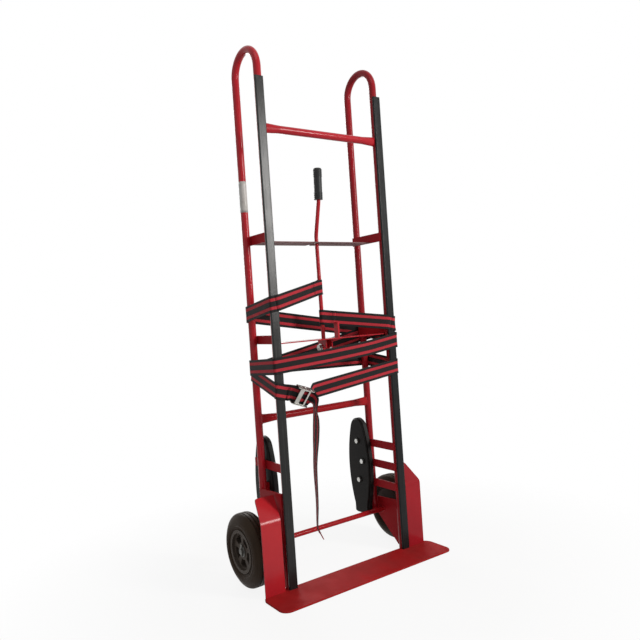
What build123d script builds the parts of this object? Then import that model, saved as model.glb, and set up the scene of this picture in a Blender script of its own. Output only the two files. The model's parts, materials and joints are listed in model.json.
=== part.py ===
"""Stair climbing hand truck: tube frame, wheels, belt climbers, strap tightener and strap.

Millimetres. +Z up, +X to the right seen from the load side, -Y towards the load.
The origin is on the floor, midway between the side rails, below the front legs.
"""

import math
import os

from build123d import *

# Frame tubes
RAIL_SPACING = 412.0
RAIL_DEPTH = 127.0
TOTAL_HEIGHT = 1520.0
TUBE_RADIUS = 11.0
TUBE_WALL = 1.6
REAR_LEG_END = 88.0
WELD_GAP = 0.1

# Rubber covers on the front legs
COVER_WIDTH = 27.0
COVER_OFFSET = 3.0
COVER_FRONT = 3.0
COVER_DEPTH = 5.5
COVER_TOP_DROP = 106.0
COVER_CORNER = 3.0

# Crossbars
TOP_BAR_DROP = 244.0
REAR_BAR_RISE = 54.5
BAR_FLARE_LENGTH = 45.0
BAR_END_HEIGHT = 30.0
BAR_END_DEPTH = 14.0

# Flat tie bars between the front and rear legs
TIE_THICKNESS = 4.0
TIE_SETBACK = 4.5
TIE_OVERHANG = 4.0
LOW_TIE_OVERHANG = 37.5
UPPER_TIE_BOTTOM = 966.0
UPPER_TIE_HEIGHT = 27.0
MID_TIE_BOTTOM = 677.0
MID_TIE_HEIGHT = 25.0
LOW_TIE_BOTTOMS = (312.0, 248.0, 185.0)
LOW_TIE_HEIGHT = 24.0

# Lever plates
PLATE_THICKNESS = 3.0
GUIDE_FRONT = 42.0
GUIDE_REAR = 115.0
LEVER_PLATE_FRONT = 2.0
LEVER_PLATE_GAP = 2.0
SLOT_SIDE_CLEARANCE = 1.5
SLOT_FRONT_CLEARANCE = 0.5

# Strap post on the lever plate
POST_X = 19.0
POST_WIDTH = 6.0
POST_DEPTH = 19.0
POST_HEIGHT = 46.0
POST_FRONT = 8.0
POST_EDGE = 1.2

# Toe plate
TOE_OVERHANG = 99.5
TOE_FRONT = -118.0
TOE_REAR = 4.0
TOE_THICKNESS = 4.0
TOE_FRONT_CORNER = 26.0
TOE_REAR_CORNER = 34.0
TOE_EDGE = 1.2

# Side plates on the outside of the rails
SIDE_PLATE_THICKNESS = 4.0
SIDE_PLATE_FRONT = 2.0
SIDE_PLATE_FOOT = 31.0
SIDE_PLATE_HEEL = 84.0
SIDE_PLATE_SETBACK = 5.0
SIDE_PLATE_TOP_RISE = 7.0
LEFT_PLATE_TOP = 259.0
RIGHT_PLATE_TOP = 140.5

# Wheel fenders on the toe plate
LEFT_FENDER_GAP = 12.5
RIGHT_FENDER_GAP = 1.5
FENDER_WIDTH = 62.0
FENDER_TOP_CUT = 15.0
FENDER_THICKNESS = 2.5
FENDER_BEND_HEIGHT = 203.0
FENDER_SLANT = 54.0
FENDER_SLOPE = 45.0
FENDER_BEND_RADIUS = 24.0
FENDER_CORNER = 12.0

# Wheels and axle
WHEEL_RADIUS = 103.5
WHEEL_CLEARANCE = 3.5
AXLE_RADIUS = 7.5
AXLE_LEG_GAP = 10.0
AXLE_SHIFT = 7.5
TYRE_WIDTH = 58.0
BEAD_WIDTH = 48.0
SIDEWALL_FOOT = 12.0
TYRE_SHOULDER = 20.0
TREAD_WIDTH = 34.0
SHOULDER_ROUND = 24.0
TREAD_ROUND = 14.0
TREAD_GROOVES = 3
GROOVE_PITCH = 11.0
GROOVE_WIDTH = 3.0
GROOVE_DEPTH = 2.5
TYRE_WALL = 43.5
RIM_INNER_REACH = 24.0
RIM_OUTER_REACH = 27.0
RIM_LIP = 9.0
DISH_DEPTH = 8.0
HUB_INNER_REACH = 29.0
BOSS_RADIUS = 18.0
BOSS_RISE = 1.0
POCKET_COUNT = 5
POCKET_INNER = 24.0
POCKET_EDGE = 6.0
POCKET_HALF_ANGLE = 24.0
POCKET_DEPTH = 12.0
POCKET_CORNER = 4.0
BUSH_RADIUS = 11.0
SPACER_LENGTH = 21.5
SPACER_RADIUS = 12.5
WASHER_THICKNESS = 1.5
WASHER_RADIUS = 15.0
RUNNING_CLEARANCE = 0.05
END_CLEARANCE = 0.3
COTTER_RADIUS = 1.6
COTTER_LENGTH = 28.0
AXLE_OVERHANG = 4.0

# Stair climbers, inboard of the rear legs
CLIMBER_BOTTOM = 88.0
CLIMBER_TOP = 403.0
CLIMBER_END_RADIUS = 34.0
CLIMBER_FOOT_CORNER = 8.0
CLIMBER_AXLE_GAP = 6.0
CLIMBER_LEG_GAP = 2.0
CLIMBER_LAG = 2.0
CHEEK_THICKNESS = 4.0
CHEEK_INSET = 2.5
CORE_WIDTH = 14.0
BELT_HALF_WIDTH = 53.5
BELT_THICKNESS = 5.0
BELT_WIDTH = 12.0
BELT_CLEARANCE = 0.3
CHEEK_EDGE = 2.0
CLIMBER_BOLT_RADIUS = 5.0
TIE_BOLT_RISE = 16.0
BOLT_HEAD_RADIUS = 8.0
BOLT_HEAD_HEIGHT = 6.0

# Strap tightener lever
PIVOT_Y = 62.0
PIVOT_DROP = 25.0
LEVER_RADIUS = 6.0
KNEE_Y = 65.0
KNEE_RISE = 24.0
NECK_Y = 40.0
NECK_RISE = 100.0
LEVER_END_Y = 35.5
LEVER_END_RISE = 94.0
LEVER_BEND_RADIUS = 70.0
EYE_RADIUS = 10.0
EYE_WIDTH = 17.0
PIVOT_RADIUS = 5.0
LUG_THICKNESS = 4.0
LUG_GAP = 18.0
LUG_RADIUS = 12.0
LUG_FRONT = 34.0
PIVOT_HEAD_RADIUS = 9.5
PIVOT_HEAD_HEIGHT = 6.4
PIVOT_NUT_HEIGHT = 8.0
PIVOT_THREAD_END = 3.0
PIVOT_WASHER_RADIUS = 12.0
GRIP_LENGTH = 94.0
GRIP_RADIUS = 12.2
GRIP_RIB_RADIUS = 13.4
GRIP_RIB_HEIGHT = 3.0
GRIP_RIBS = 4
GRIP_RIB_PITCH = 6.0
GRIP_CAP = 4.0
GRIP_DOME = 5.0

# Webbing strap
STRAP_WIDTH = 45.0
STRAP_THICKNESS = 1.8
STRAP_GAP = 0.3
LOOP_SEWN_LENGTH = 42.0
LOOP_NECK_LENGTH = 12.0

# How far the strap's middle line is above the lever plate at each rail, as it is wound
LONG_RISES = {
    "left_front_1": 108.5,
    "left_rear_1": 84.5,
    "right_rear_1": 12.5,
    "right_front_1": -23.0,
    "left_front_2": -61.5,
    "left_rear_2": -71.0,
    "right_rear_2": -83.5,
    "right_front_2": -105.0,
}
SHORT_RISES = {
    "right_front": 30.0,
    "right_rear": -2.0,
    "left_rear": -84.0,
    "left_front": -129.0,
}
RIGHT_LOOP_RISE = 63.0
LOOP_SPACING = 91.0

# Cam buckle, in the front run of the strap
BUCKLE_INSET = 60.0
BUCKLE_LEAD = 2.8
BUCKLE_DROP = 148.0
BUCKLE_TILT = -20.0
BUCKLE_TIP = -27.0
BUCKLE_LENGTH = 55.0
BUCKLE_MARGIN = 1.2
BUCKLE_SHEET = 2.0
BUCKLE_EAR_DEPTH = 19.0
BUCKLE_EAR_CORNER = 6.0
LOOP_BAR_X = -15.0
LOOP_BAR_RADIUS = 3.0
TURN_BAR_X = 0.0
TURN_BAR_RADIUS = 2.6
CAM_PIN_X = 14.0
CAM_PIN_RADIUS = 2.0
CAM_RADIUS = 3.4
CAM_NOSE = 4.2
CAM_ARM_THICKNESS = 2.5
CAM_PLATE_FAR = 33.0
CAM_PLATE_WIDTH = 13.0
CAM_PLATE_THICKNESS = 2.0
CAM_PLATE_CORNER = 3.0
CAM_SIDE_CLEARANCE = 0.4
RETURN_END_X = 16.0
TAIL_LEAD = 3.0
FOLD_BACK_LENGTH = 30.0
FOLD_BACK_MOST = 0.9
LONG_BEND_REACH = 51.0
LONG_BEND_RISE = 4.0

# Free tail of the strap: middle points from the buckle's place, the direction of its width
# about the vertical, and how much its width still leans with the buckle
TAIL_POINTS = (
    (32.0, -13.5, -19.0),
    (34.0, -15.0, -31.0),
    (35.0, -13.0, -45.0),
    (38.0, -11.0, -64.0),
    (37.5, -9.5, -90.0),
    (33.5, -9.0, -132.0),
    (29.0, -8.5, -170.0),
    (25.5, -8.0, -202.0),
    (24.5, -8.0, -242.0),
    (24.5, -8.0, -282.0),
    (23.5, -8.0, -320.0),
    (20.5, -8.0, -350.0),
    (19.0, -8.0, -377.0),
)
TAIL_TURNS = (66.0, 66.0, 68.0, 76.0, 79.0, 77.0, 71.0, 69.0, 68.0, 66.0, 64.0, 62.0, 60.0)
TAIL_LEANS = (0.5, 0.15)

# Places worked out from the sizes above
RAIL_X = RAIL_SPACING / 2
LOOP_RADIUS = RAIL_DEPTH / 2
LOOP_CENTRE = TOTAL_HEIGHT - TUBE_RADIUS - LOOP_RADIUS
COVER_TOP = TOTAL_HEIGHT - COVER_TOP_DROP
COVER_INNER = RAIL_X + COVER_OFFSET - COVER_WIDTH / 2
COVER_OUTER = RAIL_X + COVER_OFFSET + COVER_WIDTH / 2
COVER_FACE_Y = -(TUBE_RADIUS + COVER_FRONT)
COVER_BACK_Y = COVER_FACE_Y + COVER_DEPTH
TIE_FRONT = COVER_BACK_Y + TIE_SETBACK
TOP_BAR_HEIGHT = TOTAL_HEIGHT - TOP_BAR_DROP
REAR_BAR_HEIGHT = CLIMBER_TOP + REAR_BAR_RISE
BAR_WAIST = RAIL_X - TUBE_RADIUS - BAR_FLARE_LENGTH
TOE_WIDTH = RAIL_SPACING + 2 * TOE_OVERHANG
TIE_REAR = RAIL_DEPTH + TIE_OVERHANG
TIE_OUTER = RAIL_X - TUBE_RADIUS - WELD_GAP
TIE_INNER = TIE_OUTER - TIE_THICKNESS
SIDE_PLATE_X = RAIL_X + TUBE_RADIUS + WELD_GAP
SIDE_PLATE_OUTER = SIDE_PLATE_X + SIDE_PLATE_THICKNESS
SIDE_PLATE_REAR = RAIL_DEPTH - SIDE_PLATE_SETBACK
WHEEL_INNER = SIDE_PLATE_OUTER + SPACER_LENGTH + WASHER_THICKNESS + 2 * WELD_GAP + END_CLEARANCE
WHEEL_X = WHEEL_INNER + HUB_INNER_REACH
RIM_RADIUS = WHEEL_RADIUS - TYRE_WALL
DISH_RADIUS = RIM_RADIUS - RIM_LIP
POCKET_OUTER = DISH_RADIUS - POCKET_EDGE
DISH_FLOOR = RIM_OUTER_REACH - DISH_DEPTH
HUB_OUTER_REACH = DISH_FLOOR + BOSS_RISE
WHEEL_OUTER = WHEEL_X + HUB_OUTER_REACH
AXLE_Y = RAIL_DEPTH - TUBE_RADIUS - AXLE_LEG_GAP - AXLE_RADIUS
AXLE_Z = WHEEL_RADIUS
FENDER_FRONT = AXLE_Y - WHEEL_RADIUS - WHEEL_CLEARANCE - FENDER_THICKNESS
OUTER_WASHER_X = WHEEL_OUTER + END_CLEARANCE
COTTER_X = OUTER_WASHER_X + WASHER_THICKNESS + WELD_GAP + COTTER_RADIUS
AXLE_END = COTTER_X + AXLE_OVERHANG
BEHIND_AXLE_Y = AXLE_Y + AXLE_RADIUS + CLIMBER_AXLE_GAP + CLIMBER_END_RADIUS - CLIMBER_LAG
BEHIND_LEG_Y = RAIL_DEPTH + TUBE_RADIUS + BOLT_HEAD_RADIUS + CLIMBER_LEG_GAP
CLIMBER_Y = max(BEHIND_AXLE_Y, BEHIND_LEG_Y)
CLIMBER_OUTER = TIE_INNER - WELD_GAP
LOW_TIE_REAR = CLIMBER_Y + LOW_TIE_OVERHANG
UPPER_BOLT, RAIL_BOLT, LOWER_BOLT = [bottom + TIE_BOLT_RISE for bottom in LOW_TIE_BOTTOMS]
CORE_OUTER = CLIMBER_OUTER - CHEEK_THICKNESS
CORE_INNER = CORE_OUTER - CORE_WIDTH
CLIMBER_INNER = CORE_INNER - CHEEK_THICKNESS
GUIDE_Z = UPPER_TIE_BOTTOM
LEVER_PLATE_Z = MID_TIE_BOTTOM
LEVER_PLATE_TOP = LEVER_PLATE_Z + PLATE_THICKNESS
LEVER_PLATE_REAR = PIVOT_Y - LEVER_RADIUS - LEVER_PLATE_GAP
LEVER_KNEE = (KNEE_Y, GUIDE_Z + KNEE_RISE)
LEVER_NECK = (NECK_Y, LEVER_KNEE[1] + NECK_RISE)
LEVER_END = (LEVER_END_Y, LEVER_NECK[1] + LEVER_END_RISE)
PIVOT_HEIGHT = LEVER_PLATE_Z - PIVOT_DROP
LONG_HEIGHTS = {place: LEVER_PLATE_TOP + rise for place, rise in LONG_RISES.items()}
SHORT_HEIGHTS = {place: LEVER_PLATE_TOP + rise for place, rise in SHORT_RISES.items()}
RIGHT_LOOP_HEIGHT = LEVER_PLATE_TOP + RIGHT_LOOP_RISE
LEFT_LOOP_HEIGHT = RIGHT_LOOP_HEIGHT + LOOP_SPACING
STRAP_OFFSET = STRAP_GAP + STRAP_THICKNESS / 2
STRAP_LAYER = STRAP_THICKNESS + 2 * STRAP_GAP
STRAP_FACE_Y = COVER_FACE_Y - STRAP_OFFSET
BUCKLE_PLACE = (BUCKLE_INSET - RAIL_X, STRAP_FACE_Y - BUCKLE_LEAD, LEVER_PLATE_TOP - BUCKLE_DROP)
LONG_BEND_X = BUCKLE_PLACE[0] + LONG_BEND_REACH
LONG_BEND_HEIGHT = BUCKLE_PLACE[2] + LONG_BEND_RISE
TURN_RADIUS = TURN_BAR_RADIUS + STRAP_OFFSET
LOOP_BAR_TURN = LOOP_BAR_RADIUS + STRAP_OFFSET
BUCKLE_INSIDE = STRAP_WIDTH + 2 * BUCKLE_MARGIN
CAM_PIN_DEPTH = 2 * TURN_RADIUS + STRAP_OFFSET + CAM_NOSE
CAM_HALF_WIDTH = BUCKLE_INSIDE / 2 - CAM_SIDE_CLEARANCE


def box(x_range, y_range, z_range):
    """A block between the given low and high X, Y and Z."""
    size = [high - low for low, high in (x_range, y_range, z_range)]
    middle = [(high + low) / 2 for low, high in (x_range, y_range, z_range)]
    return Pos(*middle) * Box(*size)


def rod_x(x_range, y, z, radius):
    """A round bar along X."""
    low, high = x_range
    return Pos((low + high) / 2, y, z) * Rot(0, 90, 0) * Cylinder(radius, high - low)


def rod_z(z_range, radius):
    """A round bar along Z."""
    low, high = z_range
    return Pos(0, 0, (low + high) / 2) * Cylinder(radius, high - low)


def hex_x(x_range, y, z, radius):
    """A hexagon along X, with the given corner radius."""
    low, high = x_range
    plane = Plane(origin=(low, y, z), x_dir=(0, 1, 0), z_dir=(1, 0, 0))
    return extrude(plane * RegularPolygon(radius, 6), high - low)


def washer_x(x_range, y, z, radius, bore):
    """A flat ring along X."""
    return rod_x(x_range, y, z, radius) - rod_x(x_range, y, z, bore)


def plate_yz(points, x_range):
    """A flat plate with an outline in Y and Z, between two X values."""
    low, high = x_range
    plane = Plane(origin=(low, 0, 0), x_dir=(0, 1, 0), z_dir=(1, 0, 0))
    return extrude(plane * make_face(Polyline(*points, close=True)), high - low)


def to_left(shape):
    """The mirror image on the left side."""
    return mirror(shape, about=Plane.YZ)


def group(*shapes):
    """Separate solids that share one node."""
    solids = []
    for shape in shapes:
        solids.extend(shape.solids())
    return Compound(children=solids)


def rail_solid(radius):
    """One bent rail of the given radius: front leg, handle loop and rear leg."""
    start = Vector(RAIL_X, 0, TOE_THICKNESS)
    front_top = Vector(RAIL_X, 0, LOOP_CENTRE)
    crown = Vector(RAIL_X, LOOP_RADIUS, LOOP_CENTRE + LOOP_RADIUS)
    rear_top = Vector(RAIL_X, RAIL_DEPTH, LOOP_CENTRE)
    finish = Vector(RAIL_X, RAIL_DEPTH, REAR_LEG_END)
    path = Wire([
        Edge.make_line(start, front_top),
        Edge.make_three_point_arc(front_top, crown, rear_top),
        Edge.make_line(rear_top, finish),
    ])
    return sweep(Plane(origin=start, z_dir=(0, 0, 1)) * Circle(radius), path=path)


def side_rail():
    """The right side rail, with the climber's bolt hole in its rear leg."""
    tube = rail_solid(TUBE_RADIUS) - rail_solid(TUBE_RADIUS - TUBE_WALL)
    hole = rod_x((RAIL_X - 2 * TUBE_RADIUS, RAIL_X), RAIL_DEPTH, RAIL_BOLT,
                 CLIMBER_BOLT_RADIUS + RUNNING_CLEARANCE)
    return tube - hole


def leg(y):
    """A full round bar that fills a right leg and its weld gap."""
    height = TOTAL_HEIGHT - TOE_THICKNESS
    return Pos(RAIL_X, y, TOE_THICKNESS + height / 2) * Cylinder(TUBE_RADIUS + WELD_GAP, height)


def bar_end(y, z, spare):
    """The right end of a crossbar, flaring from round to flat, larger all round by a spare gap."""
    start = Plane(origin=(BAR_WAIST, y, z), x_dir=(0, 1, 0), z_dir=(1, 0, 0))
    finish = Plane(origin=(RAIL_X, y, z), x_dir=(0, 1, 0), z_dir=(1, 0, 0))
    flat_end = Ellipse(BAR_END_DEPTH / 2 + spare, BAR_END_HEIGHT / 2 + spare)
    return loft([start * Circle(TUBE_RADIUS + spare), finish * flat_end])


def crossbar(y, z):
    """A crossbar with flattened, flared ends that fit round the legs at that Y."""
    bar = rod_x((-BAR_WAIST, BAR_WAIST), y, z, TUBE_RADIUS)
    flare = bar_end(y, z, 0) - leg(y)
    return bar + flare + to_left(flare)


def rail_cover():
    """The right rubber cover: a strip with a hollow back on the front leg, clear of the top crossbar."""
    outer = Pos((COVER_INNER + COVER_OUTER) / 2, (COVER_FACE_Y + COVER_BACK_Y) / 2)
    outer *= Rectangle(COVER_WIDTH, COVER_DEPTH)
    profile = fillet(outer.vertices().sort_by(Axis.Y)[:2], COVER_CORNER)
    profile -= Pos(RAIL_X, 0) * Circle(TUBE_RADIUS + WELD_GAP)
    cover = Pos(0, 0, TOE_THICKNESS) * extrude(profile, COVER_TOP - TOE_THICKNESS)
    return cover - bar_end(0, TOP_BAR_HEIGHT, WELD_GAP)


def tie_bar(bottom, height, y_range=(TIE_FRONT, TIE_REAR)):
    """A right tie bar on the inner sides of the front and the rear leg."""
    return box((TIE_INNER, TIE_OUTER), y_range, (bottom, bottom + height))


def low_tie(bottom, bolt_y, y_range=(TIE_FRONT, LOW_TIE_REAR)):
    """A right tie bar that reaches behind the rear leg and carries the climber's bolt."""
    bar = tie_bar(bottom, LOW_TIE_HEIGHT, y_range)
    return bar - rod_x((TIE_INNER, TIE_OUTER), bolt_y, bottom + TIE_BOLT_RISE,
                       CLIMBER_BOLT_RADIUS + RUNNING_CLEARANCE)


def climber_pad():
    """The left pad between the climber and the rear leg, in the place of the middle low tie bar."""
    y_range = (RAIL_DEPTH - TUBE_RADIUS, RAIL_DEPTH + TUBE_RADIUS)
    return to_left(low_tie(LOW_TIE_BOTTOMS[1], RAIL_DEPTH, y_range))


def lever_y(height):
    """Where the lever's straight lower stretch is at a height."""
    share = (height - PIVOT_HEIGHT) / (LEVER_KNEE[1] - PIVOT_HEIGHT)
    return PIVOT_Y + share * (LEVER_KNEE[0] - PIVOT_Y)


def guide_plate():
    """The upper plate between the tie bars, with a slot for the lever that is open to the rear."""
    half = TIE_INNER - WELD_GAP
    plate = box((-half, half), (GUIDE_FRONT, GUIDE_REAR), (GUIDE_Z, GUIDE_Z + PLATE_THICKNESS))
    slot_half = LEVER_RADIUS + SLOT_SIDE_CLEARANCE
    slot_y = lever_y(GUIDE_Z) - LEVER_RADIUS - SLOT_FRONT_CLEARANCE + slot_half
    slot_end = Pos(0, slot_y, GUIDE_Z + PLATE_THICKNESS / 2) * Cylinder(slot_half, 2 * PLATE_THICKNESS)
    mouth = box((-slot_half, slot_half), (slot_y, GUIDE_REAR + slot_half),
                (GUIDE_Z - PLATE_THICKNESS, GUIDE_Z + 2 * PLATE_THICKNESS))
    return plate - slot_end - mouth


def lever_plate():
    """The lower plate between the tie bars, in front of the lever."""
    half = TIE_INNER - WELD_GAP
    return box((-half, half), (LEVER_PLATE_FRONT, LEVER_PLATE_REAR), (LEVER_PLATE_Z, LEVER_PLATE_TOP))


def strap_post():
    """The upright stub on the lever plate, beside the lever."""
    x_range = (POST_X - POST_WIDTH / 2, POST_X + POST_WIDTH / 2)
    z_range = (LEVER_PLATE_TOP, LEVER_PLATE_TOP + POST_HEIGHT)
    post = box(x_range, (POST_FRONT, POST_FRONT + POST_DEPTH), z_range)
    return chamfer(post.faces().sort_by(Axis.Z)[-1].edges(), POST_EDGE)


def lever_lugs():
    """Two ears under the lever plate that carry the pivot bolt."""
    ears = []
    drop = LEVER_PLATE_Z - PIVOT_HEIGHT
    for low in (LUG_GAP / 2, -LUG_GAP / 2 - LUG_THICKNESS):
        x_range = (low, low + LUG_THICKNESS)
        web = box(x_range, (LUG_FRONT, PIVOT_Y + LUG_RADIUS), (LEVER_PLATE_Z - drop, LEVER_PLATE_Z))
        eye = rod_x(x_range, PIVOT_Y, PIVOT_HEIGHT, LUG_RADIUS)
        bore = rod_x(x_range, PIVOT_Y, PIVOT_HEIGHT, PIVOT_RADIUS + RUNNING_CLEARANCE)
        ears.append(web + eye - bore)
    return group(*ears)


def pivot_bolt():
    """The lever's pivot bolt with two washers and a nut."""
    lug_face = LUG_GAP / 2 + LUG_THICKNESS + WELD_GAP
    washer_face = lug_face + WASHER_THICKNESS
    seat = washer_face + WELD_GAP
    nut_end = seat + PIVOT_NUT_HEIGHT
    head = hex_x((-seat - PIVOT_HEAD_HEIGHT, -seat), PIVOT_Y, PIVOT_HEIGHT, PIVOT_HEAD_RADIUS)
    shank = rod_x((-seat, nut_end + PIVOT_THREAD_END), PIVOT_Y, PIVOT_HEIGHT, PIVOT_RADIUS)
    bore = PIVOT_RADIUS + RUNNING_CLEARANCE
    washers = [washer_x(span, PIVOT_Y, PIVOT_HEIGHT, PIVOT_WASHER_RADIUS, bore)
               for span in ((-washer_face, -lug_face), (lug_face, washer_face))]
    nut = hex_x((seat, nut_end), PIVOT_Y, PIVOT_HEIGHT, PIVOT_HEAD_RADIUS)
    nut -= rod_x((seat, nut_end), PIVOT_Y, PIVOT_HEIGHT, bore)
    return group(head + shank, *washers, nut)


def lever_rod():
    """The bent lever with its pivot eye."""
    points = [(0, y, z) for y, z in ((PIVOT_Y, PIVOT_HEIGHT), LEVER_KNEE, LEVER_NECK, LEVER_END)]
    path = FilletPolyline(*points, radius=LEVER_BEND_RADIUS)
    start = Plane(origin=path @ 0, z_dir=path % 0)
    rod = sweep(start * Circle(LEVER_RADIUS), path=path)
    eye_span = (-EYE_WIDTH / 2, EYE_WIDTH / 2)
    eye = rod_x(eye_span, PIVOT_Y, PIVOT_HEIGHT, EYE_RADIUS)
    bore = rod_x(eye_span, PIVOT_Y, PIVOT_HEIGHT, PIVOT_RADIUS + RUNNING_CLEARANCE)
    return rod + eye - bore


def lever_grip():
    """The rubber grip, pushed over the lever's end, ribbed at both ends."""
    end = Vector(0, *LEVER_END)
    axis = (end - Vector(0, *LEVER_NECK)).normalized()
    base = Plane(origin=end + axis * (GRIP_CAP - GRIP_LENGTH), x_dir=(1, 0, 0), z_dir=axis)
    sleeve = extrude(Circle(GRIP_RADIUS), GRIP_LENGTH)
    sleeve = fillet(sleeve.edges().sort_by(Axis.Z)[-1], GRIP_DOME)
    rib = fillet(extrude(Circle(GRIP_RIB_RADIUS), GRIP_RIB_HEIGHT).edges(), GRIP_RIB_HEIGHT / 3)
    for index in range(GRIP_RIBS):
        lift = index * GRIP_RIB_PITCH
        sleeve += Pos(0, 0, lift) * rib
        sleeve += Pos(0, 0, GRIP_LENGTH - GRIP_DOME - GRIP_RIB_HEIGHT - lift) * rib
    sleeve -= extrude(Circle(LEVER_RADIUS + WELD_GAP), GRIP_LENGTH - GRIP_CAP + WELD_GAP)
    return base * sleeve


def toe_plate():
    """The toe plate, with rounded corners and softened upper edges."""
    outline = Pos(0, (TOE_FRONT + TOE_REAR) / 2) * Rectangle(TOE_WIDTH, TOE_REAR - TOE_FRONT)
    outline = fillet(outline.vertices().sort_by(Axis.Y)[:2], TOE_FRONT_CORNER)
    outline = fillet(outline.vertices().sort_by(Axis.Y)[-2:], TOE_REAR_CORNER)
    plate = extrude(outline, TOE_THICKNESS)
    return chamfer(plate.faces().sort_by(Axis.Z)[-1].edges(), TOE_EDGE)


def side_plate(top):
    """The right side plate, from the toe plate to the rear leg, with the axle's hole."""
    points = (
        (SIDE_PLATE_FRONT, TOE_THICKNESS),
        (SIDE_PLATE_FRONT + SIDE_PLATE_FOOT, TOE_THICKNESS),
        (SIDE_PLATE_REAR, SIDE_PLATE_HEEL),
        (SIDE_PLATE_REAR, top),
        (SIDE_PLATE_FRONT, top + SIDE_PLATE_TOP_RISE),
    )
    x_range = (SIDE_PLATE_X, SIDE_PLATE_OUTER)
    return plate_yz(points, x_range) - rod_x(x_range, AXLE_Y, AXLE_Z, AXLE_RADIUS + RUNNING_CLEARANCE)


def fender(gap):
    """A right wheel fender: an upright sheet, bent back over the wheel, its top slanting in to the cover."""
    slope = math.radians(FENDER_SLOPE)
    thick = FENDER_THICKNESS
    back = FENDER_FRONT + thick
    bend_back = FENDER_BEND_HEIGHT - thick * math.tan(slope / 2)
    tip = (FENDER_FRONT + FENDER_SLANT, FENDER_BEND_HEIGHT + FENDER_SLANT / math.tan(slope))
    tip_back = (tip[0] + thick * math.cos(slope), tip[1] - thick * math.sin(slope))
    points = (
        (FENDER_FRONT, TOE_THICKNESS),
        (back, TOE_THICKNESS),
        (back, bend_back),
        tip_back,
        tip,
        (FENDER_FRONT, FENDER_BEND_HEIGHT),
    )
    inner = COVER_OUTER + gap
    outer = inner + FENDER_WIDTH
    sheet = plate_yz(points, (COVER_OUTER, outer))
    along_x = sheet.edges().filter_by(Axis.X).sort_by(Axis.Z)
    bend_inside, bend_outside = along_x[2], along_x[3]
    sheet = fillet(bend_outside, FENDER_BEND_RADIUS)
    inside = sheet.edges().filter_by(Axis.X).sort_by_distance(bend_inside.center())[0]
    sheet = fillet(inside, FENDER_BEND_RADIUS - thick)
    outline = make_face(Polyline(
        (inner, TOE_THICKNESS),
        (outer, TOE_THICKNESS),
        (outer, FENDER_BEND_HEIGHT),
        (outer - FENDER_TOP_CUT, tip[1]),
        (COVER_OUTER, tip[1]),
        (inner, FENDER_BEND_HEIGHT),
        close=True,
    ))
    outline = fillet(outline.vertices().group_by(Axis.Y)[-1].sort_by(Axis.X)[-1], FENDER_CORNER)
    behind = Plane(origin=(0, tip_back[0], 0), x_dir=(1, 0, 0), z_dir=(0, -1, 0))
    return sheet & extrude(behind * outline, tip_back[0] - FENDER_FRONT)


def on_axle(shape):
    """Move a piece to the left with the wheels, which aren't midway between the side plates."""
    return Pos(-AXLE_SHIFT, 0, 0) * shape


def axle():
    """The axle bar across both wheels, drilled for the cotter pins."""
    bar = rod_x((-AXLE_END, AXLE_END), AXLE_Y, AXLE_Z, AXLE_RADIUS)
    bar = chamfer(bar.edges(), AXLE_RADIUS / 8)
    drill = Pos(COTTER_X, AXLE_Y, AXLE_Z) * Cylinder(COTTER_RADIUS + RUNNING_CLEARANCE, COTTER_LENGTH)
    return on_axle(bar - drill - to_left(drill))


def axle_spacers():
    """The sleeves between the side plates and the wheels."""
    start = SIDE_PLATE_OUTER + WELD_GAP
    left, right = [washer_x((start, start + length), AXLE_Y, AXLE_Z, SPACER_RADIUS,
                            AXLE_RADIUS + RUNNING_CLEARANCE)
                   for length in (SPACER_LENGTH + AXLE_SHIFT, SPACER_LENGTH - AXLE_SHIFT)]
    return group(to_left(left), right)


def axle_washers():
    """The washers on both sides of each wheel."""
    inner = SIDE_PLATE_OUTER + SPACER_LENGTH + 2 * WELD_GAP
    rings = []
    for start in (inner, OUTER_WASHER_X):
        ring = washer_x((start, start + WASHER_THICKNESS), AXLE_Y, AXLE_Z, WASHER_RADIUS,
                        AXLE_RADIUS + RUNNING_CLEARANCE)
        rings.extend((on_axle(to_left(ring)), on_axle(ring)))
    return group(*rings)


def cotter_pins():
    """The pins that keep the wheels on the axle, each with a bent eye."""
    pin = Pos(COTTER_X, AXLE_Y, AXLE_Z) * Cylinder(COTTER_RADIUS, COTTER_LENGTH)
    eye_height = AXLE_Z + COTTER_LENGTH / 2 + COTTER_RADIUS
    eye = Pos(COTTER_X, AXLE_Y, eye_height) * Rot(0, 90, 0) * Torus(2 * COTTER_RADIUS, COTTER_RADIUS)
    pin = pin + eye
    return group(on_axle(to_left(pin)), on_axle(pin))


def on_wheel(shape):
    """Turn a shape made about Z into the right wheel's place."""
    return Pos(WHEEL_X, AXLE_Y, AXLE_Z) * Rot(0, 90, 0) * shape


def tyre():
    """The right solid rubber tyre, with round shoulders and grooves round its tread."""
    half = TYRE_WIDTH / 2
    bead = RIM_RADIUS + RUNNING_CLEARANCE
    shoulder = WHEEL_RADIUS - TYRE_SHOULDER
    outward = (
        (bead, BEAD_WIDTH / 2),
        (bead + SIDEWALL_FOOT, half),
        (shoulder, half),
        (WHEEL_RADIUS, TREAD_WIDTH / 2),
    )
    inward = [(radius, -aside) for radius, aside in reversed(outward)]
    section = make_face(Polyline(*outward, *inward, close=True))
    for radius, rounding in ((shoulder, SHOULDER_ROUND), (WHEEL_RADIUS, TREAD_ROUND)):
        corners = [corner for corner in section.vertices() if abs(corner.X - radius) < WELD_GAP]
        section = fillet(corners, rounding)
    for index in range(TREAD_GROOVES):
        place = (index - (TREAD_GROOVES - 1) / 2) * GROOVE_PITCH
        section -= Pos(WHEEL_RADIUS, place) * Rectangle(2 * GROOVE_DEPTH, GROOVE_WIDTH)
    ring = revolve(Plane.XZ * section, Axis.Z)
    return on_wheel(ring)


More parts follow.
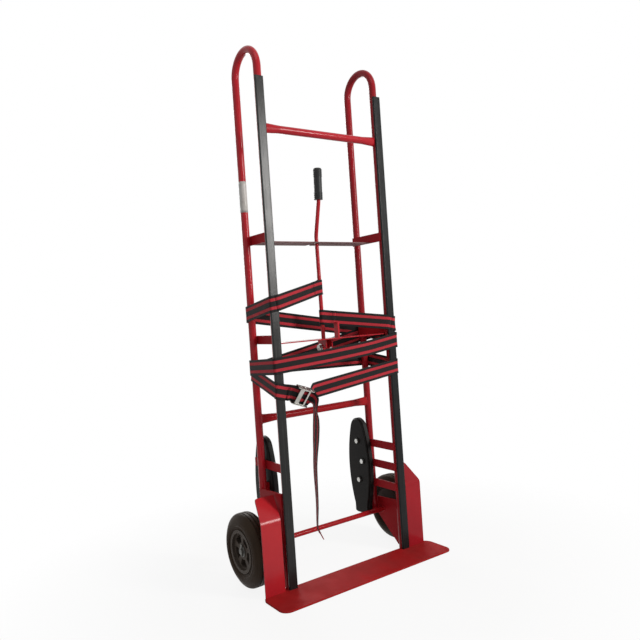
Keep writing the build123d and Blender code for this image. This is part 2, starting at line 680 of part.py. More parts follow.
def wheel_hub():
    """The right hub: a disc with a dish and pockets in its outer face, a boss and a bore."""
    hub_span = (-HUB_INNER_REACH, HUB_OUTER_REACH)
    disc = rod_z((-RIM_INNER_REACH, RIM_OUTER_REACH), RIM_RADIUS)
    disc -= rod_z((DISH_FLOOR, RIM_OUTER_REACH), DISH_RADIUS)
    disc += rod_z(hub_span, BOSS_RADIUS)
    half = math.radians(POCKET_HALF_ANGLE)
    inner, outer = POCKET_INNER, POCKET_OUTER
    corners = []
    for radius, angle in ((inner, -half), (outer, -half), (outer, half), (inner, half)):
        corners.append((radius * math.cos(angle), radius * math.sin(angle)))
    outer_arc = ThreePointArc(corners[1], (outer, 0), corners[2])
    inner_arc = ThreePointArc(corners[3], (inner, 0), corners[0])
    outline = make_face([Line(corners[0], corners[1]), outer_arc, Line(corners[2], corners[3]), inner_arc])
    outline = fillet(outline.vertices(), POCKET_CORNER)
    pocket = extrude(outline, POCKET_DEPTH)
    for index in range(POCKET_COUNT):
        turn = Rot(0, 0, index * 360 / POCKET_COUNT)
        disc -= turn * Pos(0, 0, DISH_FLOOR - POCKET_DEPTH) * pocket
    return on_wheel(disc - rod_z(hub_span, BUSH_RADIUS + RUNNING_CLEARANCE))


def wheel_bush():
    """The right wheel's bush, which runs on the axle."""
    span = (-HUB_INNER_REACH, HUB_OUTER_REACH)
    return on_wheel(rod_z(span, BUSH_RADIUS) - rod_z(span, AXLE_RADIUS + RUNNING_CLEARANCE))


def climber_outline(inset):
    """The climber's bowed outline in Y and Z, set in all round: long arcs, a round top, a blunt foot."""
    half = BELT_HALF_WIDTH - inset
    end = CLIMBER_END_RADIUS - inset
    reach = (CLIMBER_TOP - CLIMBER_BOTTOM) / 2 - CLIMBER_END_RADIUS
    side = (reach ** 2 + half ** 2 - end ** 2) / (2 * (half - end))
    y = end * (side - half) / (side - end)
    z = reach * side / (side - end)
    tip = reach + end
    arcs = (
        ThreePointArc((y, -z), (half, 0), (y, z)),
        ThreePointArc((y, z), (0, tip), (-y, z)),
        ThreePointArc((-y, z), (-half, 0), (-y, -z)),
        ThreePointArc((-y, -z), (0, -tip), (y, -z)),
    )
    foot = Pos(0, -reach - end / 2) * Rectangle(2 * end, end)
    foot = fillet(foot.vertices().sort_by(Axis.Y)[:2], CLIMBER_FOOT_CORNER - inset)
    outline = make_face(arcs) + foot
    return Pos(CLIMBER_Y + CLIMBER_LAG, (CLIMBER_TOP + CLIMBER_BOTTOM) / 2) * outline


def climber_slab(outline, x_range):
    """A slab of the climber with the given outline."""
    low, high = x_range
    plane = Plane(origin=(low, 0, 0), x_dir=(0, 1, 0), z_dir=(1, 0, 0))
    return extrude(plane * outline, high - low)


def climber_bolt_places():
    """Y and Z of the climber's three bolts, from the top."""
    return ((CLIMBER_Y, UPPER_BOLT), (RAIL_DEPTH, RAIL_BOLT), (CLIMBER_Y, LOWER_BOLT))


def drill_climber(shape):
    """The shape with the climber's bolt holes."""
    for y, z in climber_bolt_places():
        shape -= rod_x((CLIMBER_INNER, CLIMBER_OUTER), y, z, CLIMBER_BOLT_RADIUS + RUNNING_CLEARANCE)
    return shape


def climber_cheek(x_range, outside):
    """One side cheek of the right climber, with a softened outer edge."""
    cheek = climber_slab(climber_outline(CHEEK_INSET), x_range)
    face = cheek.faces().sort_by(Axis.X)[-1 if outside else 0]
    return drill_climber(chamfer(face.edges(), CHEEK_EDGE))


def climber_core():
    """The slide core of the right climber, which the belt runs round."""
    outline = climber_outline(BELT_THICKNESS + BELT_CLEARANCE)
    return drill_climber(climber_slab(outline, (CORE_INNER + WELD_GAP, CORE_OUTER - WELD_GAP)))


def climber_belt():
    """The endless belt of the right climber."""
    outline = climber_outline(0) - climber_outline(BELT_THICKNESS)
    middle = (CORE_INNER + CORE_OUTER) / 2
    return climber_slab(outline, (middle - BELT_WIDTH / 2, middle + BELT_WIDTH / 2))


def climber_bolts():
    """The right climber's bolts: two with nuts behind the tie bars, one into the rear leg."""
    pieces = []
    head_span = (CLIMBER_INNER - WELD_GAP - BOLT_HEAD_HEIGHT, CLIMBER_INNER - WELD_GAP)
    nut_span = (TIE_OUTER + WELD_GAP, TIE_OUTER + WELD_GAP + BOLT_HEAD_HEIGHT)
    for y, z in climber_bolt_places():
        in_leg = z == RAIL_BOLT
        end = RAIL_X if in_leg else nut_span[1]
        bolt = hex_x(head_span, y, z, BOLT_HEAD_RADIUS)
        bolt += rod_x((head_span[1], end), y, z, CLIMBER_BOLT_RADIUS)
        pieces.append(bolt)
        if not in_leg:
            nut = hex_x(nut_span, y, z, BOLT_HEAD_RADIUS)
            pieces.append(nut - rod_x(nut_span, y, z, CLIMBER_BOLT_RADIUS + RUNNING_CLEARANCE))
    return group(*pieces)


def ribbon(stations):
    """A flat strap through stations, each a middle point and a half width with its direction."""
    places = [Vector(*place) for place, _ in stations]
    sections = []
    for index, (_, up) in enumerate(stations):
        here = places[index]
        before = places[max(index - 1, 0)]
        after = places[min(index + 1, len(places) - 1)]
        steps = [step for step in (here - before, after - here) if step.length > 0]
        normals = [up.cross(step).normalized() for step in steps]
        across = (normals[0] + normals[-1]).normalized()
        half = across * (STRAP_THICKNESS / 2 / across.dot(normals[0]))
        sections.append([here + half + up, here + half - up, here - half - up, here - half + up])
    faces = [Face(Wire.make_polygon(section)) for section in (sections[0], sections[-1])]
    for first, second in zip(sections, sections[1:]):
        for corner in range(4):
            rails = [Edge.make_line(section[corner - 1], section[corner]) for section in (first, second)]
            faces.append(Face.make_surface_from_curves(*rails))
    return Solid(Shell(faces))


def standing(points, width=STRAP_WIDTH):
    """Stations of a strap with upright edges."""
    return [(point, Vector(0, 0, width / 2)) for point in points]


def leaning(points):
    """Stations of a strap that lies in the buckle."""
    return [(point, BUCKLE_PLANE.z_dir * (STRAP_WIDTH / 2)) for point in points]


def slanted_width(start, end):
    """The upright height of a strap that runs from one point to another."""
    step = Vector(*end) - Vector(*start)
    level = math.hypot(step.X, step.Y)
    return STRAP_WIDTH * step.length / level


def corner_points(centre, radius, angles, side, front):
    """Corners of a strap's path that just touches a circle, between straight runs."""
    step = math.radians(angles[1] - angles[0]) / 2
    reach = radius / math.cos(step)
    sign = -1 if front else 1
    points = []
    for angle in angles:
        turn = math.radians(angle)
        x = centre[0] + reach * math.cos(turn)
        points.append((side * x, centre[1] + sign * reach * math.sin(turn)))
    return points


def wrap_rear(side, layer, height):
    """Points round a rear leg, from its outer side to its rear, for side -1 or 1."""
    radius = TUBE_RADIUS + STRAP_OFFSET + layer * STRAP_LAYER
    flat = corner_points((RAIL_X, RAIL_DEPTH), radius, (15, 45, 75), side, False)
    return [(x, y, height) for x, y in flat]


def wrap_front(side, layer, height):
    """Points round the outer front corner of a rail cover, from its front to its rear edge."""
    radius = COVER_CORNER + STRAP_OFFSET + layer * STRAP_LAYER
    centre = (COVER_OUTER - COVER_CORNER, COVER_FACE_Y + COVER_CORNER)
    flat = corner_points(centre, radius, (67.5, 22.5), side, True)
    flat.append((side * (centre[0] + radius), COVER_BACK_Y + STRAP_GAP))
    return [(x, y, height) for x, y in flat]


def loop_run(side, height, end_height):
    """A lever strap: sewn loop round the lever, then the run to the front of a rail cover."""
    lever = Vector(0, lever_y(height), height)
    edge = Vector(side * COVER_INNER, STRAP_FACE_Y, end_height)
    end = Vector(side * RAIL_X, STRAP_FACE_Y, end_height)
    level = Vector(edge.X - lever.X, edge.Y - lever.Y, 0)
    along = level.normalized()
    across = Vector(-along.Y, along.X, 0)
    slope = (end_height - height) / level.length
    half_step = 25
    radius = (LEVER_RADIUS + STRAP_OFFSET) / math.cos(math.radians(half_step))
    clear = STRAP_LAYER / 2
    neck = radius + LOOP_NECK_LENGTH
    places = [(LOOP_SEWN_LENGTH, -clear), (neck, -clear)]
    for angle in range(-80, -281, -2 * half_step):
        turn = math.radians(angle)
        places.append((radius * math.cos(turn), radius * math.sin(turn)))
    places += [(neck, clear), (LOOP_SEWN_LENGTH, clear)]
    points = []
    for reach, aside in places:
        point = lever + along * reach + across * aside
        points.append((point.X, point.Y, height + slope * max(reach, 0)))
    points += [(edge.X, edge.Y, edge.Z), (end.X, end.Y, end.Z)]
    return ribbon(standing(points, slanted_width(lever, edge)))


def buckle_plane():
    """The buckle's own frame: along the strap, behind the strap, across the strap."""
    tilt = math.radians(BUCKLE_TILT)
    tip = math.radians(BUCKLE_TIP)
    along = Vector(math.cos(tilt), 0, math.sin(tilt))
    level_up = Vector(-math.sin(tilt), 0, math.cos(tilt))
    up = level_up * math.cos(tip) + Vector(0, 1, 0) * math.sin(tip)
    return Plane(origin=BUCKLE_PLACE, x_dir=along, z_dir=up)


BUCKLE_PLANE = buckle_plane()


def at_buckle(along, depth):
    """A point of the buckle from its place along the strap and its depth behind the strap's line."""
    point = BUCKLE_PLANE.from_local_coords(Vector(along, depth, 0))
    return (point.X, point.Y, point.Z)


def turn_round(bar_x, radius, towards):
    """Corners of a half turn in front of the strap's line, round a bar of the buckle."""
    reach = radius / math.cos(math.radians(22.5))
    points = []
    for angle in (67.5, 22.5, -22.5, -67.5, -112.5):
        turn = math.radians(angle)
        points.append(at_buckle(bar_x + towards * reach * math.cos(turn), -radius + reach * math.sin(turn)))
    return points


def strap_long():
    """The long strap: twice round the frame, through the buckle and round its turning bar."""
    heights = LONG_HEIGHTS
    lever = Vector(0, lever_y(LEFT_LOOP_HEIGHT), LEFT_LOOP_HEIGHT)
    lead = Vector(-COVER_INNER, STRAP_FACE_Y, heights["left_front_1"])
    start = (-RAIL_X, STRAP_FACE_Y, heights["left_front_1"])
    points = wrap_front(-1, 0, heights["left_front_1"])
    points += wrap_rear(-1, 1, heights["left_rear_1"])
    points += wrap_rear(1, 1, heights["right_rear_1"])[::-1]
    points += wrap_front(1, 1, heights["right_front_1"])[::-1]
    points += wrap_front(-1, 1, heights["left_front_2"])
    points += wrap_rear(-1, 1, heights["left_rear_2"])
    points += wrap_rear(1, 1, heights["right_rear_2"])[::-1]
    points += wrap_front(1, 0, heights["right_front_2"])[::-1]
    points.append((COVER_INNER, STRAP_FACE_Y, heights["right_front_2"]))
    points.append((LONG_BEND_X, STRAP_FACE_Y, LONG_BEND_HEIGHT))
    stations = standing([start], slanted_width(lever, lead)) + standing(points)
    in_frame = [at_buckle(BUCKLE_LENGTH / 2 + TAIL_LEAD, 0)]
    in_frame += turn_round(TURN_BAR_X, TURN_RADIUS, -1)
    in_frame.append(at_buckle(RETURN_END_X, -2 * TURN_RADIUS))
    return ribbon(stations + leaning(in_frame))


def strap_short():
    """The short strap: once round the frame, to its sewn loop on the buckle."""
    heights = SHORT_HEIGHTS
    lever = Vector(0, lever_y(RIGHT_LOOP_HEIGHT), RIGHT_LOOP_HEIGHT)
    lead = Vector(COVER_INNER, STRAP_FACE_Y, heights["right_front"])
    inner = Vector(-COVER_INNER, STRAP_FACE_Y, heights["left_front"])
    start = (RAIL_X, STRAP_FACE_Y, heights["right_front"])
    points = wrap_front(1, 0, heights["right_front"])
    points += wrap_rear(1, 0, heights["right_rear"])
    points += wrap_rear(-1, 0, heights["left_rear"])[::-1]
    points += wrap_front(-1, 0, heights["left_front"])[::-1]
    points.append((inner.X, inner.Y, inner.Z))
    stations = standing([start], slanted_width(lever, lead)) + standing(points)
    stations += leaning([at_buckle(-BUCKLE_LENGTH / 2 - TAIL_LEAD, 0)])
    stations += leaning(turn_round(LOOP_BAR_X, LOOP_BAR_TURN, 1))
    bar = Vector(*at_buckle(LOOP_BAR_X, 0))
    run = bar - inner
    share = min(FOLD_BACK_LENGTH / run.length, FOLD_BACK_MOST)
    doubled = Vector(0, -STRAP_LAYER, 0)
    for part, width in ((share / 2, BUCKLE_PLANE.z_dir), (share, Vector(0, 0, 1))):
        place = bar - run * part + doubled
        stations.append(((place.X, place.Y, place.Z), width * (STRAP_WIDTH / 2)))
    return ribbon(stations)


def strap_tail():
    """The free tail: a twist out of the buckle, then a hanging length that turns as it falls."""
    depth = -2 * TURN_RADIUS
    stations = leaning([at_buckle(RETURN_END_X, depth), at_buckle(RETURN_END_X + TAIL_LEAD, depth)])
    leans = TAIL_LEANS + (0,) * (len(TAIL_POINTS) - len(TAIL_LEANS))
    for place, turn, lean in zip(TAIL_POINTS, TAIL_TURNS, leans):
        angle = math.radians(turn)
        level = Vector(-math.cos(angle), -math.sin(angle), 0)
        width = BUCKLE_PLANE.z_dir * lean + level * (1 - lean)
        point = Vector(*BUCKLE_PLACE) + Vector(*place)
        stations.append(((point.X, point.Y, point.Z), width.normalized() * (STRAP_WIDTH / 2)))
    return ribbon(stations)


def in_buckle(shape):
    """Put a shape made in the buckle's own frame into its place."""
    return BUCKLE_PLANE.location * shape


def buckle_pin_places():
    """Place along, depth and radius of the loop bar, the turning bar and the cam's pin."""
    return (
        (LOOP_BAR_X, -LOOP_BAR_TURN, LOOP_BAR_RADIUS),
        (TURN_BAR_X, -TURN_RADIUS, TURN_BAR_RADIUS),
        (CAM_PIN_X, -CAM_PIN_DEPTH, CAM_PIN_RADIUS),
    )


def buckle_frame():
    """The buckle's folded sheet: a back behind the strap and two ears."""
    half = BUCKLE_INSIDE / 2
    back_front = STRAP_OFFSET
    back_rear = back_front + BUCKLE_SHEET
    span = (-BUCKLE_LENGTH / 2, BUCKLE_LENGTH / 2)
    frame = box(span, (back_front, back_rear), (-half, half))
    for low in (half, -half - BUCKLE_SHEET):
        ear = box(span, (-BUCKLE_EAR_DEPTH, back_rear), (low, low + BUCKLE_SHEET))
        frame += fillet(ear.edges().filter_by(Axis.Z).sort_by(Axis.Y)[:2], BUCKLE_EAR_CORNER)
    for x, depth, radius in buckle_pin_places():
        frame -= Pos(x, depth, 0) * Cylinder(radius + RUNNING_CLEARANCE, BUCKLE_INSIDE + 4 * BUCKLE_SHEET)
    return in_buckle(frame)


def buckle_pins():
    """The loop bar, the turning bar and the cam's pin, riveted in the ears."""
    length = BUCKLE_INSIDE + 2 * BUCKLE_SHEET
    return group(*[in_buckle(Pos(x, depth, 0) * Cylinder(radius, length))
                   for x, depth, radius in buckle_pin_places()])


def buckle_cam():
    """The cam bar with its thumb plate, on two arms that leave a window over the strap."""
    length = 2 * CAM_HALF_WIDTH
    body = Cylinder(CAM_RADIUS, length)
    body += Pos(0, CAM_NOSE - CAM_RADIUS / 2, 0) * Cylinder(CAM_RADIUS / 2, length)
    y_range = (-CAM_RADIUS, -CAM_RADIUS + CAM_PLATE_THICKNESS)
    x_range = (-CAM_PLATE_FAR, -CAM_PLATE_FAR + CAM_PLATE_WIDTH)
    plate = box(x_range, y_range, (-CAM_HALF_WIDTH, CAM_HALF_WIDTH))
    body += fillet(plate.edges().filter_by(Axis.Y).sort_by(Axis.X)[:2], CAM_PLATE_CORNER)
    for low in (CAM_HALF_WIDTH - CAM_ARM_THICKNESS, -CAM_HALF_WIDTH):
        body += box((-CAM_PLATE_FAR + CAM_PLATE_WIDTH / 2, 0), y_range, (low, low + CAM_ARM_THICKNESS))
    body -= Cylinder(CAM_PIN_RADIUS + RUNNING_CLEARANCE, length)
    return in_buckle(Pos(CAM_PIN_X, -CAM_PIN_DEPTH, 0) * body)


def sided_nodes():
    """Nodes that come as a left and a right one."""
    right = {
        "side_rail": side_rail(),
        "rail_cover": rail_cover(),
        "upper_tie": tie_bar(UPPER_TIE_BOTTOM, UPPER_TIE_HEIGHT),
        "mid_tie": tie_bar(MID_TIE_BOTTOM, MID_TIE_HEIGHT),
        "climber_inner_cheek": climber_cheek((CLIMBER_INNER, CORE_INNER), False),
        "climber_outer_cheek": climber_cheek((CORE_OUTER, CLIMBER_OUTER), True),
        "climber_core": climber_core(),
        "climber_belt": climber_belt(),
        "climber_bolts": climber_bolts(),
    }
    bolt_lines = [y for y, _ in climber_bolt_places()]
    for index, (bottom, bolt_y) in enumerate(zip(LOW_TIE_BOTTOMS, bolt_lines), start=1):
        right[f"low_tie_{index}"] = low_tie(bottom, bolt_y)
    nodes = {}
    for name, shape in right.items():
        nodes[f"right_{name}"] = shape
        nodes[f"left_{name}"] = to_left(shape)
    del nodes["left_low_tie_2"]
    for name, shape in (("tyre", tyre()), ("wheel_hub", wheel_hub()), ("wheel_bush", wheel_bush())):
        nodes[f"right_{name}"] = on_axle(shape)
        nodes[f"left_{name}"] = on_axle(to_left(shape))
    return nodes


def all_nodes():
    """Every node of the hand truck by name."""
    nodes = sided_nodes()
    nodes.update({
        "top_crossbar": crossbar(0, TOP_BAR_HEIGHT),
        "rear_crossbar": crossbar(RAIL_DEPTH, REAR_BAR_HEIGHT),
        "guide_plate": guide_plate(),
        "lever_plate": lever_plate(),
        "strap_post": strap_post(),
        "lever_lugs": lever_lugs(),
        "pivot_bolt": pivot_bolt(),
        "lever_rod": lever_rod(),
        "lever_grip": lever_grip(),
        "left_climber_pad": climber_pad(),
        "toe_plate": toe_plate(),
        "left_fender": to_left(fender(LEFT_FENDER_GAP)),
        "right_fender": fender(RIGHT_FENDER_GAP),
        "left_side_plate": to_left(side_plate(LEFT_PLATE_TOP)),
        "right_side_plate": side_plate(RIGHT_PLATE_TOP),
        "axle": axle(),
        "axle_spacers": axle_spacers(),
        "axle_washers": axle_washers(),
        "cotter_pins": cotter_pins(),
        "lever_strap_left": loop_run(-1, LEFT_LOOP_HEIGHT, LONG_HEIGHTS["left_front_1"]),
        "lever_strap_right": loop_run(1, RIGHT_LOOP_HEIGHT, SHORT_HEIGHTS["right_front"]),
        "strap_long": strap_long(),
        "strap_short": strap_short(),
        "strap_tail": strap_tail(),
        "buckle_frame": buckle_frame(),
        "buckle_pins": buckle_pins(),
        "buckle_cam": buckle_cam(),
    })
    return nodes


os.makedirs("parts", exist_ok=True)
for node_name, node_shape in all_nodes().items():
    export_step(node_shape, f"parts/{node_name}.step")
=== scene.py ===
"""Looks of a stair climbing hand truck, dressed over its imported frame.

Metres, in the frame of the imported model: +Z up, -Y towards the load, +X to the right seen from
the load side. Paint, rubber, plastic, steel and webbing are procedural finishes. The straps with
their stitches and frayed end, the welds, the washers, the rivets and the label are modelled here.
"""

from __future__ import annotations

import json
import logging
import math
import random
from dataclasses import dataclass, field, replace
from enum import Enum
from typing import Any, Iterable, Sequence, Union

import bmesh
import bpy
from mathutils import Matrix, Vector

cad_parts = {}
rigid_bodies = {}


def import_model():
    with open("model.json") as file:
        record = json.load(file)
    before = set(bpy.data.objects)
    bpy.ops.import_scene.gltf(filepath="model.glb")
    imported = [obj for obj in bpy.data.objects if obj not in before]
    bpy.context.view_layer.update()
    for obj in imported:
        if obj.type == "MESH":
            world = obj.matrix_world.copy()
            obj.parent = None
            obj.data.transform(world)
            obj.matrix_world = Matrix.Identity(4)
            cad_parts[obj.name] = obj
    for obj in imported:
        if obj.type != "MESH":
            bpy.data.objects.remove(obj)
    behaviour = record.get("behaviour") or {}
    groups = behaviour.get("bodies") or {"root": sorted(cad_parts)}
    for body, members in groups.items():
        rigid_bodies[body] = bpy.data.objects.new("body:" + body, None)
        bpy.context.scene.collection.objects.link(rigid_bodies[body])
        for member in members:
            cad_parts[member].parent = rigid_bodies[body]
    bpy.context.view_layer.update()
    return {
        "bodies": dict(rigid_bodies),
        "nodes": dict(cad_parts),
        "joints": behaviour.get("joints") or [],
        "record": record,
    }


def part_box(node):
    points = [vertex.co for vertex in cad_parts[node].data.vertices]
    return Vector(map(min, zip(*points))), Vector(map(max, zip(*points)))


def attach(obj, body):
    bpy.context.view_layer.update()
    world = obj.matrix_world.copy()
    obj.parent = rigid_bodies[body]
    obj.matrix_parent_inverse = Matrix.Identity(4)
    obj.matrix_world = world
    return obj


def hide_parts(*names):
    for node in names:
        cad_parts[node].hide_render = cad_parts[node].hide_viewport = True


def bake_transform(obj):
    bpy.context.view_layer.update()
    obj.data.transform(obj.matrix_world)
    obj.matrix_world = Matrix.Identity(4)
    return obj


LOG = logging.getLogger("hand_truck")
MM = 0.001

TIES = ("upper_tie", "mid_tie", "low_tie_1", "low_tie_3")
RIGHT_TIE = "right_low_tie_2"

Colour = tuple[float, float, float]
Socket = bpy.types.NodeSocket
Feed = Union[float, Sequence[float], Socket]
Point = tuple[float, float, float]


class Body(str, Enum):
    """The bodies of the frame that pieces ride on."""

    FRAME = "frame"
    LEVER = "lever"
    LEFT_WHEEL = "left_wheel"
    RIGHT_WHEEL = "right_wheel"


class Slot(str, Enum):
    """The material slots of the frame's record."""

    PAINT = "red_paint"
    COVER = "cover_rubber"
    TYRE = "tyre"
    HUB = "hub_plastic"
    CLIMBER = "climber_plastic"
    BELT = "belt_rubber"
    ZINC = "zinc"
    BUCKLE = "buckle_steel"
    WEBBING = "webbing"
    GRIP = "grip_rubber"


class Side(Enum):
    """The left and the right side of the truck, with the sign of X there."""

    LEFT = -1
    RIGHT = 1

    @property
    def word(self) -> str:
        """The side's name as node names spell it."""
        return self.name.lower()


class Tree:
    """A shader tree, with short calls to add and join its nodes."""

    def __init__(self, tree: bpy.types.NodeTree) -> None:
        """Keep the tree that nodes go into."""
        self.tree = tree

    def add(self, kind: str, inputs: dict[Any, Feed] | None = None, **settings: Any) -> bpy.types.Node:
        """Add a node.

        Args:
            kind: Blender's name of the node type.
            inputs: Sockets, by name or number, with a value or a socket to link from.
            **settings: Properties of the node.

        Returns:
            The new node.
        """
        node = self.tree.nodes.new(kind)
        for name, value in settings.items():
            setattr(node, name, value)
        self.feed(node, inputs or {})
        return node

    def feed(self, node: bpy.types.Node, inputs: dict[Any, Feed]) -> None:
        """Link or set sockets of a node.

        Args:
            node: The node.
            inputs: Its sockets, by name or number, with a value or a socket to link from.
        """
        for name, value in inputs.items():
            if isinstance(value, Socket):
                self.tree.links.new(value, node.inputs[name])
            else:
                node.inputs[name].default_value = value

    def sum(self, operation: str, first: Feed, second: Feed = 0.0) -> Socket:
        """Do Blender's named arithmetic on one or two values, and return the result's socket."""
        return self.add("ShaderNodeMath", {0: first, 1: second}, operation=operation).outputs[0]

    def ramp(self, value: Feed, low: float, high: float, to_low: Feed = 0.0, to_high: Feed = 1.0) -> Socket:
        """Map a value from one range onto another, held at both ends, and return its socket."""
        inputs = {"Value": value, "From Min": low, "From Max": high, "To Min": to_low, "To Max": to_high}
        return self.add("ShaderNodeMapRange", inputs).outputs[0]

    def around(self, value: Feed, middle: float, spread: float) -> Socket:
        """Map a value of 0 to 1 onto a spread about a middle, and return its socket."""
        return self.ramp(value, 0.0, 1.0, middle - spread / 2, middle + spread / 2)

    def mix(self, share: Feed, first: Feed, second: Feed) -> Socket:
        """Mix two colours.

        Args:
            share: The share of the second colour.
            first: The first colour.
            second: The second colour.

        Returns:
            The mixed colour's socket.
        """
        ends = [colour if isinstance(colour, Socket) else (*colour, 1.0) for colour in (first, second)]
        inputs = {0: share, 6: ends[0], 7: ends[1]}
        return self.add("ShaderNodeMix", inputs, data_type="RGBA").outputs[2]

    def noise(self, scale: Feed, detail: float, stretch: Socket | None = None) -> Socket:
        """Add noise in the piece's own space.

        Args:
            scale: Cells in a metre.
            detail: How many finer layers it has.
            stretch: A vector that scales the space first.

        Returns:
            The noise's value socket.
        """
        place = self.add("ShaderNodeTexCoord").outputs["Object"]
        if stretch is not None:
            place = self.add("ShaderNodeVectorMath", {0: place, 1: stretch}, operation="MULTIPLY").outputs[0]
        inputs = {"Vector": place, "Scale": scale, "Detail": detail}
        return self.add("ShaderNodeTexNoise", inputs).outputs[0]

    def group(self, shared: bpy.types.NodeTree, **inputs: Feed) -> bpy.types.Node:
        """Place a shared effect with its inputs by name, and return its node."""
        return self.add("ShaderNodeGroup", inputs, node_tree=shared)


class Effects:
    """The effects that several finishes share, each built once as a node group."""

    edge_turn = (0.985, 0.88)
    edge_noise = (70.0, 5.0)
    edge_breaks = (0.42, 0.66)
    dust_upward = (0.1, 0.95, 0.22, 1.0)
    dust_cloud = (0.38, 0.72)
    tone_patches = (0.34, 0.68)
    streak_range = (0.36, 0.68)
    stripe_blur = 0.015
    thread_noise = (700.0, 2.0)
    thread_range = (0.3, 0.7)

    def __init__(self) -> None:
        """Build every effect."""
        self.edges = self._edges()
        self.dust = self._dust()
        self.grain = self._grain()
        self.streaks = self._streaks()
        self.weave = self._weave()

    @staticmethod
    def _start(name: str, inputs: dict[str, float], outputs: Sequence[str]) -> tuple[Tree, Any, Any]:
        """Start a node group.

        Args:
            name: The group's name.
            inputs: Its value inputs with their defaults.
            outputs: Its outputs; one named Normal is a vector.

        Returns:
            The tree, the sockets of the group's inputs and its output node.
        """
        shared = bpy.data.node_groups.new(name, "ShaderNodeTree")
        for word, value in inputs.items():
            socket = shared.interface.new_socket(name=word, in_out="INPUT", socket_type="NodeSocketFloat")
            socket.default_value = value
        for word in outputs:
            kind = "NodeSocketVector" if word == "Normal" else "NodeSocketFloat"
            shared.interface.new_socket(name=word, in_out="OUTPUT", socket_type=kind)
        tree = Tree(shared)
        return tree, tree.add("NodeGroupInput").outputs, tree.add("NodeGroupOutput")

    def _edges(self) -> bpy.types.NodeTree:
        """Build softened edges and a broken mask along them.

        Returns:
            The group.
        """
        tree, inner, outer = self._start("edge_wear", {"Width": 0.001}, ("Mask", "Normal"))
        bevel = tree.add("ShaderNodeBevel", {"Radius": inner["Width"]}, samples=6)
        flat = tree.add("ShaderNodeNewGeometry")
        ends = {0: bevel.outputs[0], 1: flat.outputs["Normal"]}
        turn = tree.add("ShaderNodeVectorMath", ends, operation="DOT_PRODUCT").outputs["Value"]
        edge = tree.ramp(turn, *self.edge_turn)
        broken = tree.ramp(tree.noise(*self.edge_noise), *self.edge_breaks)
        tree.feed(outer, {"Mask": tree.sum("MULTIPLY", edge, broken), "Normal": bevel.outputs[0]})
        return tree.tree

    def _dust(self) -> bpy.types.NodeTree:
        """Build dust that settles on upward faces, with a little elsewhere.

        Returns:
            The group.
        """
        tree, inner, outer = self._start("settled_dust", {"Amount": 0.2, "Scale": 14.0}, ("Mask",))
        normal = tree.add("ShaderNodeNewGeometry").outputs["Normal"]
        height = tree.add("ShaderNodeSeparateXYZ", {0: normal}).outputs["Z"]
        upward = tree.ramp(height, *self.dust_upward)
        cloud = tree.ramp(tree.noise(inner["Scale"], detail=6.0), *self.dust_cloud)
        mask = tree.sum("MULTIPLY", tree.sum("MULTIPLY", upward, cloud), inner["Amount"])
        tree.feed(outer, {"Mask": mask})
        return tree.tree

    def _grain(self) -> bpy.types.NodeTree:
        """Build a fine surface grain and broad patches of tone.

        Returns:
            The group.
        """
        tree, inner, outer = self._start("fine_grain", {"Scale": 400.0, "Patches": 9.0}, ("Height", "Tone"))
        tone = tree.ramp(tree.noise(inner["Patches"], detail=4.0), *self.tone_patches)
        tree.feed(outer, {"Height": tree.noise(inner["Scale"], detail=2.0), "Tone": tone})
        return tree.tree

    def _streaks(self) -> bpy.types.NodeTree:
        """Build streaks along Z, as on drawn or extruded stock.

        Returns:
            The group.
        """
        tree, inner, outer = self._start("drawn_streaks", {"Across": 260.0, "Along": 3.0}, ("Mask",))
        ends = {"X": inner["Across"], "Y": inner["Across"], "Z": inner["Along"]}
        stretch = tree.add("ShaderNodeCombineXYZ", ends).outputs[0]
        noise = tree.noise(1.0, detail=4.0, stretch=stretch)
        tree.feed(outer, {"Mask": tree.ramp(noise, *self.streak_range)})
        return tree.tree

    def _weave(self) -> bpy.types.NodeTree:
        """Build a plain weave and two stripes from a strap's own lengths.

        Returns:
            The group.
        """
        names = {"Cords": 20.0, "Pitch": 0.0021, "Stripe": 0.505, "StripeHalf": 0.18}
        tree, inner, outer = self._start("woven_webbing", names, ("Height", "Stripe", "Thread"))
        across = tree.add("ShaderNodeAttribute", attribute_name="across").outputs["Fac"]
        along = tree.add("ShaderNodeAttribute", attribute_name="along").outputs["Fac"]
        turns = tree.sum("MULTIPLY", tree.sum("MULTIPLY", across, inner["Cords"]), math.pi)
        warp = tree.sum("SINE", turns)
        rows = tree.sum("DIVIDE", along, inner["Pitch"])
        weft = tree.sum("SINE", tree.sum("MULTIPLY", rows, math.pi))
        height = tree.ramp(tree.sum("MULTIPLY", warp, weft), -1.0, 1.0)
        aside = tree.sum("ABSOLUTE", across)
        off = tree.sum("ABSOLUTE", tree.sum("SUBTRACT", aside, inner["Stripe"]))
        inside = tree.sum("SUBTRACT", inner["StripeHalf"], off)
        stripe = tree.ramp(inside, -self.stripe_blur, self.stripe_blur)
        thread = tree.ramp(tree.noise(*self.thread_noise), *self.thread_range)
        tree.feed(outer, {"Height": height, "Stripe": stripe, "Thread": thread})
        return tree.tree


def start_material(name: str) -> tuple[bpy.types.Material, Tree, bpy.types.Node]:
    """Start a material.

    Args:
        name: The material's name.

    Returns:
        The material, its tree and its Principled shader.
    """
    material = bpy.data.materials.new(name)
    material.use_nodes = True
    return material, Tree(material.node_tree), material.node_tree.nodes["Principled BSDF"]


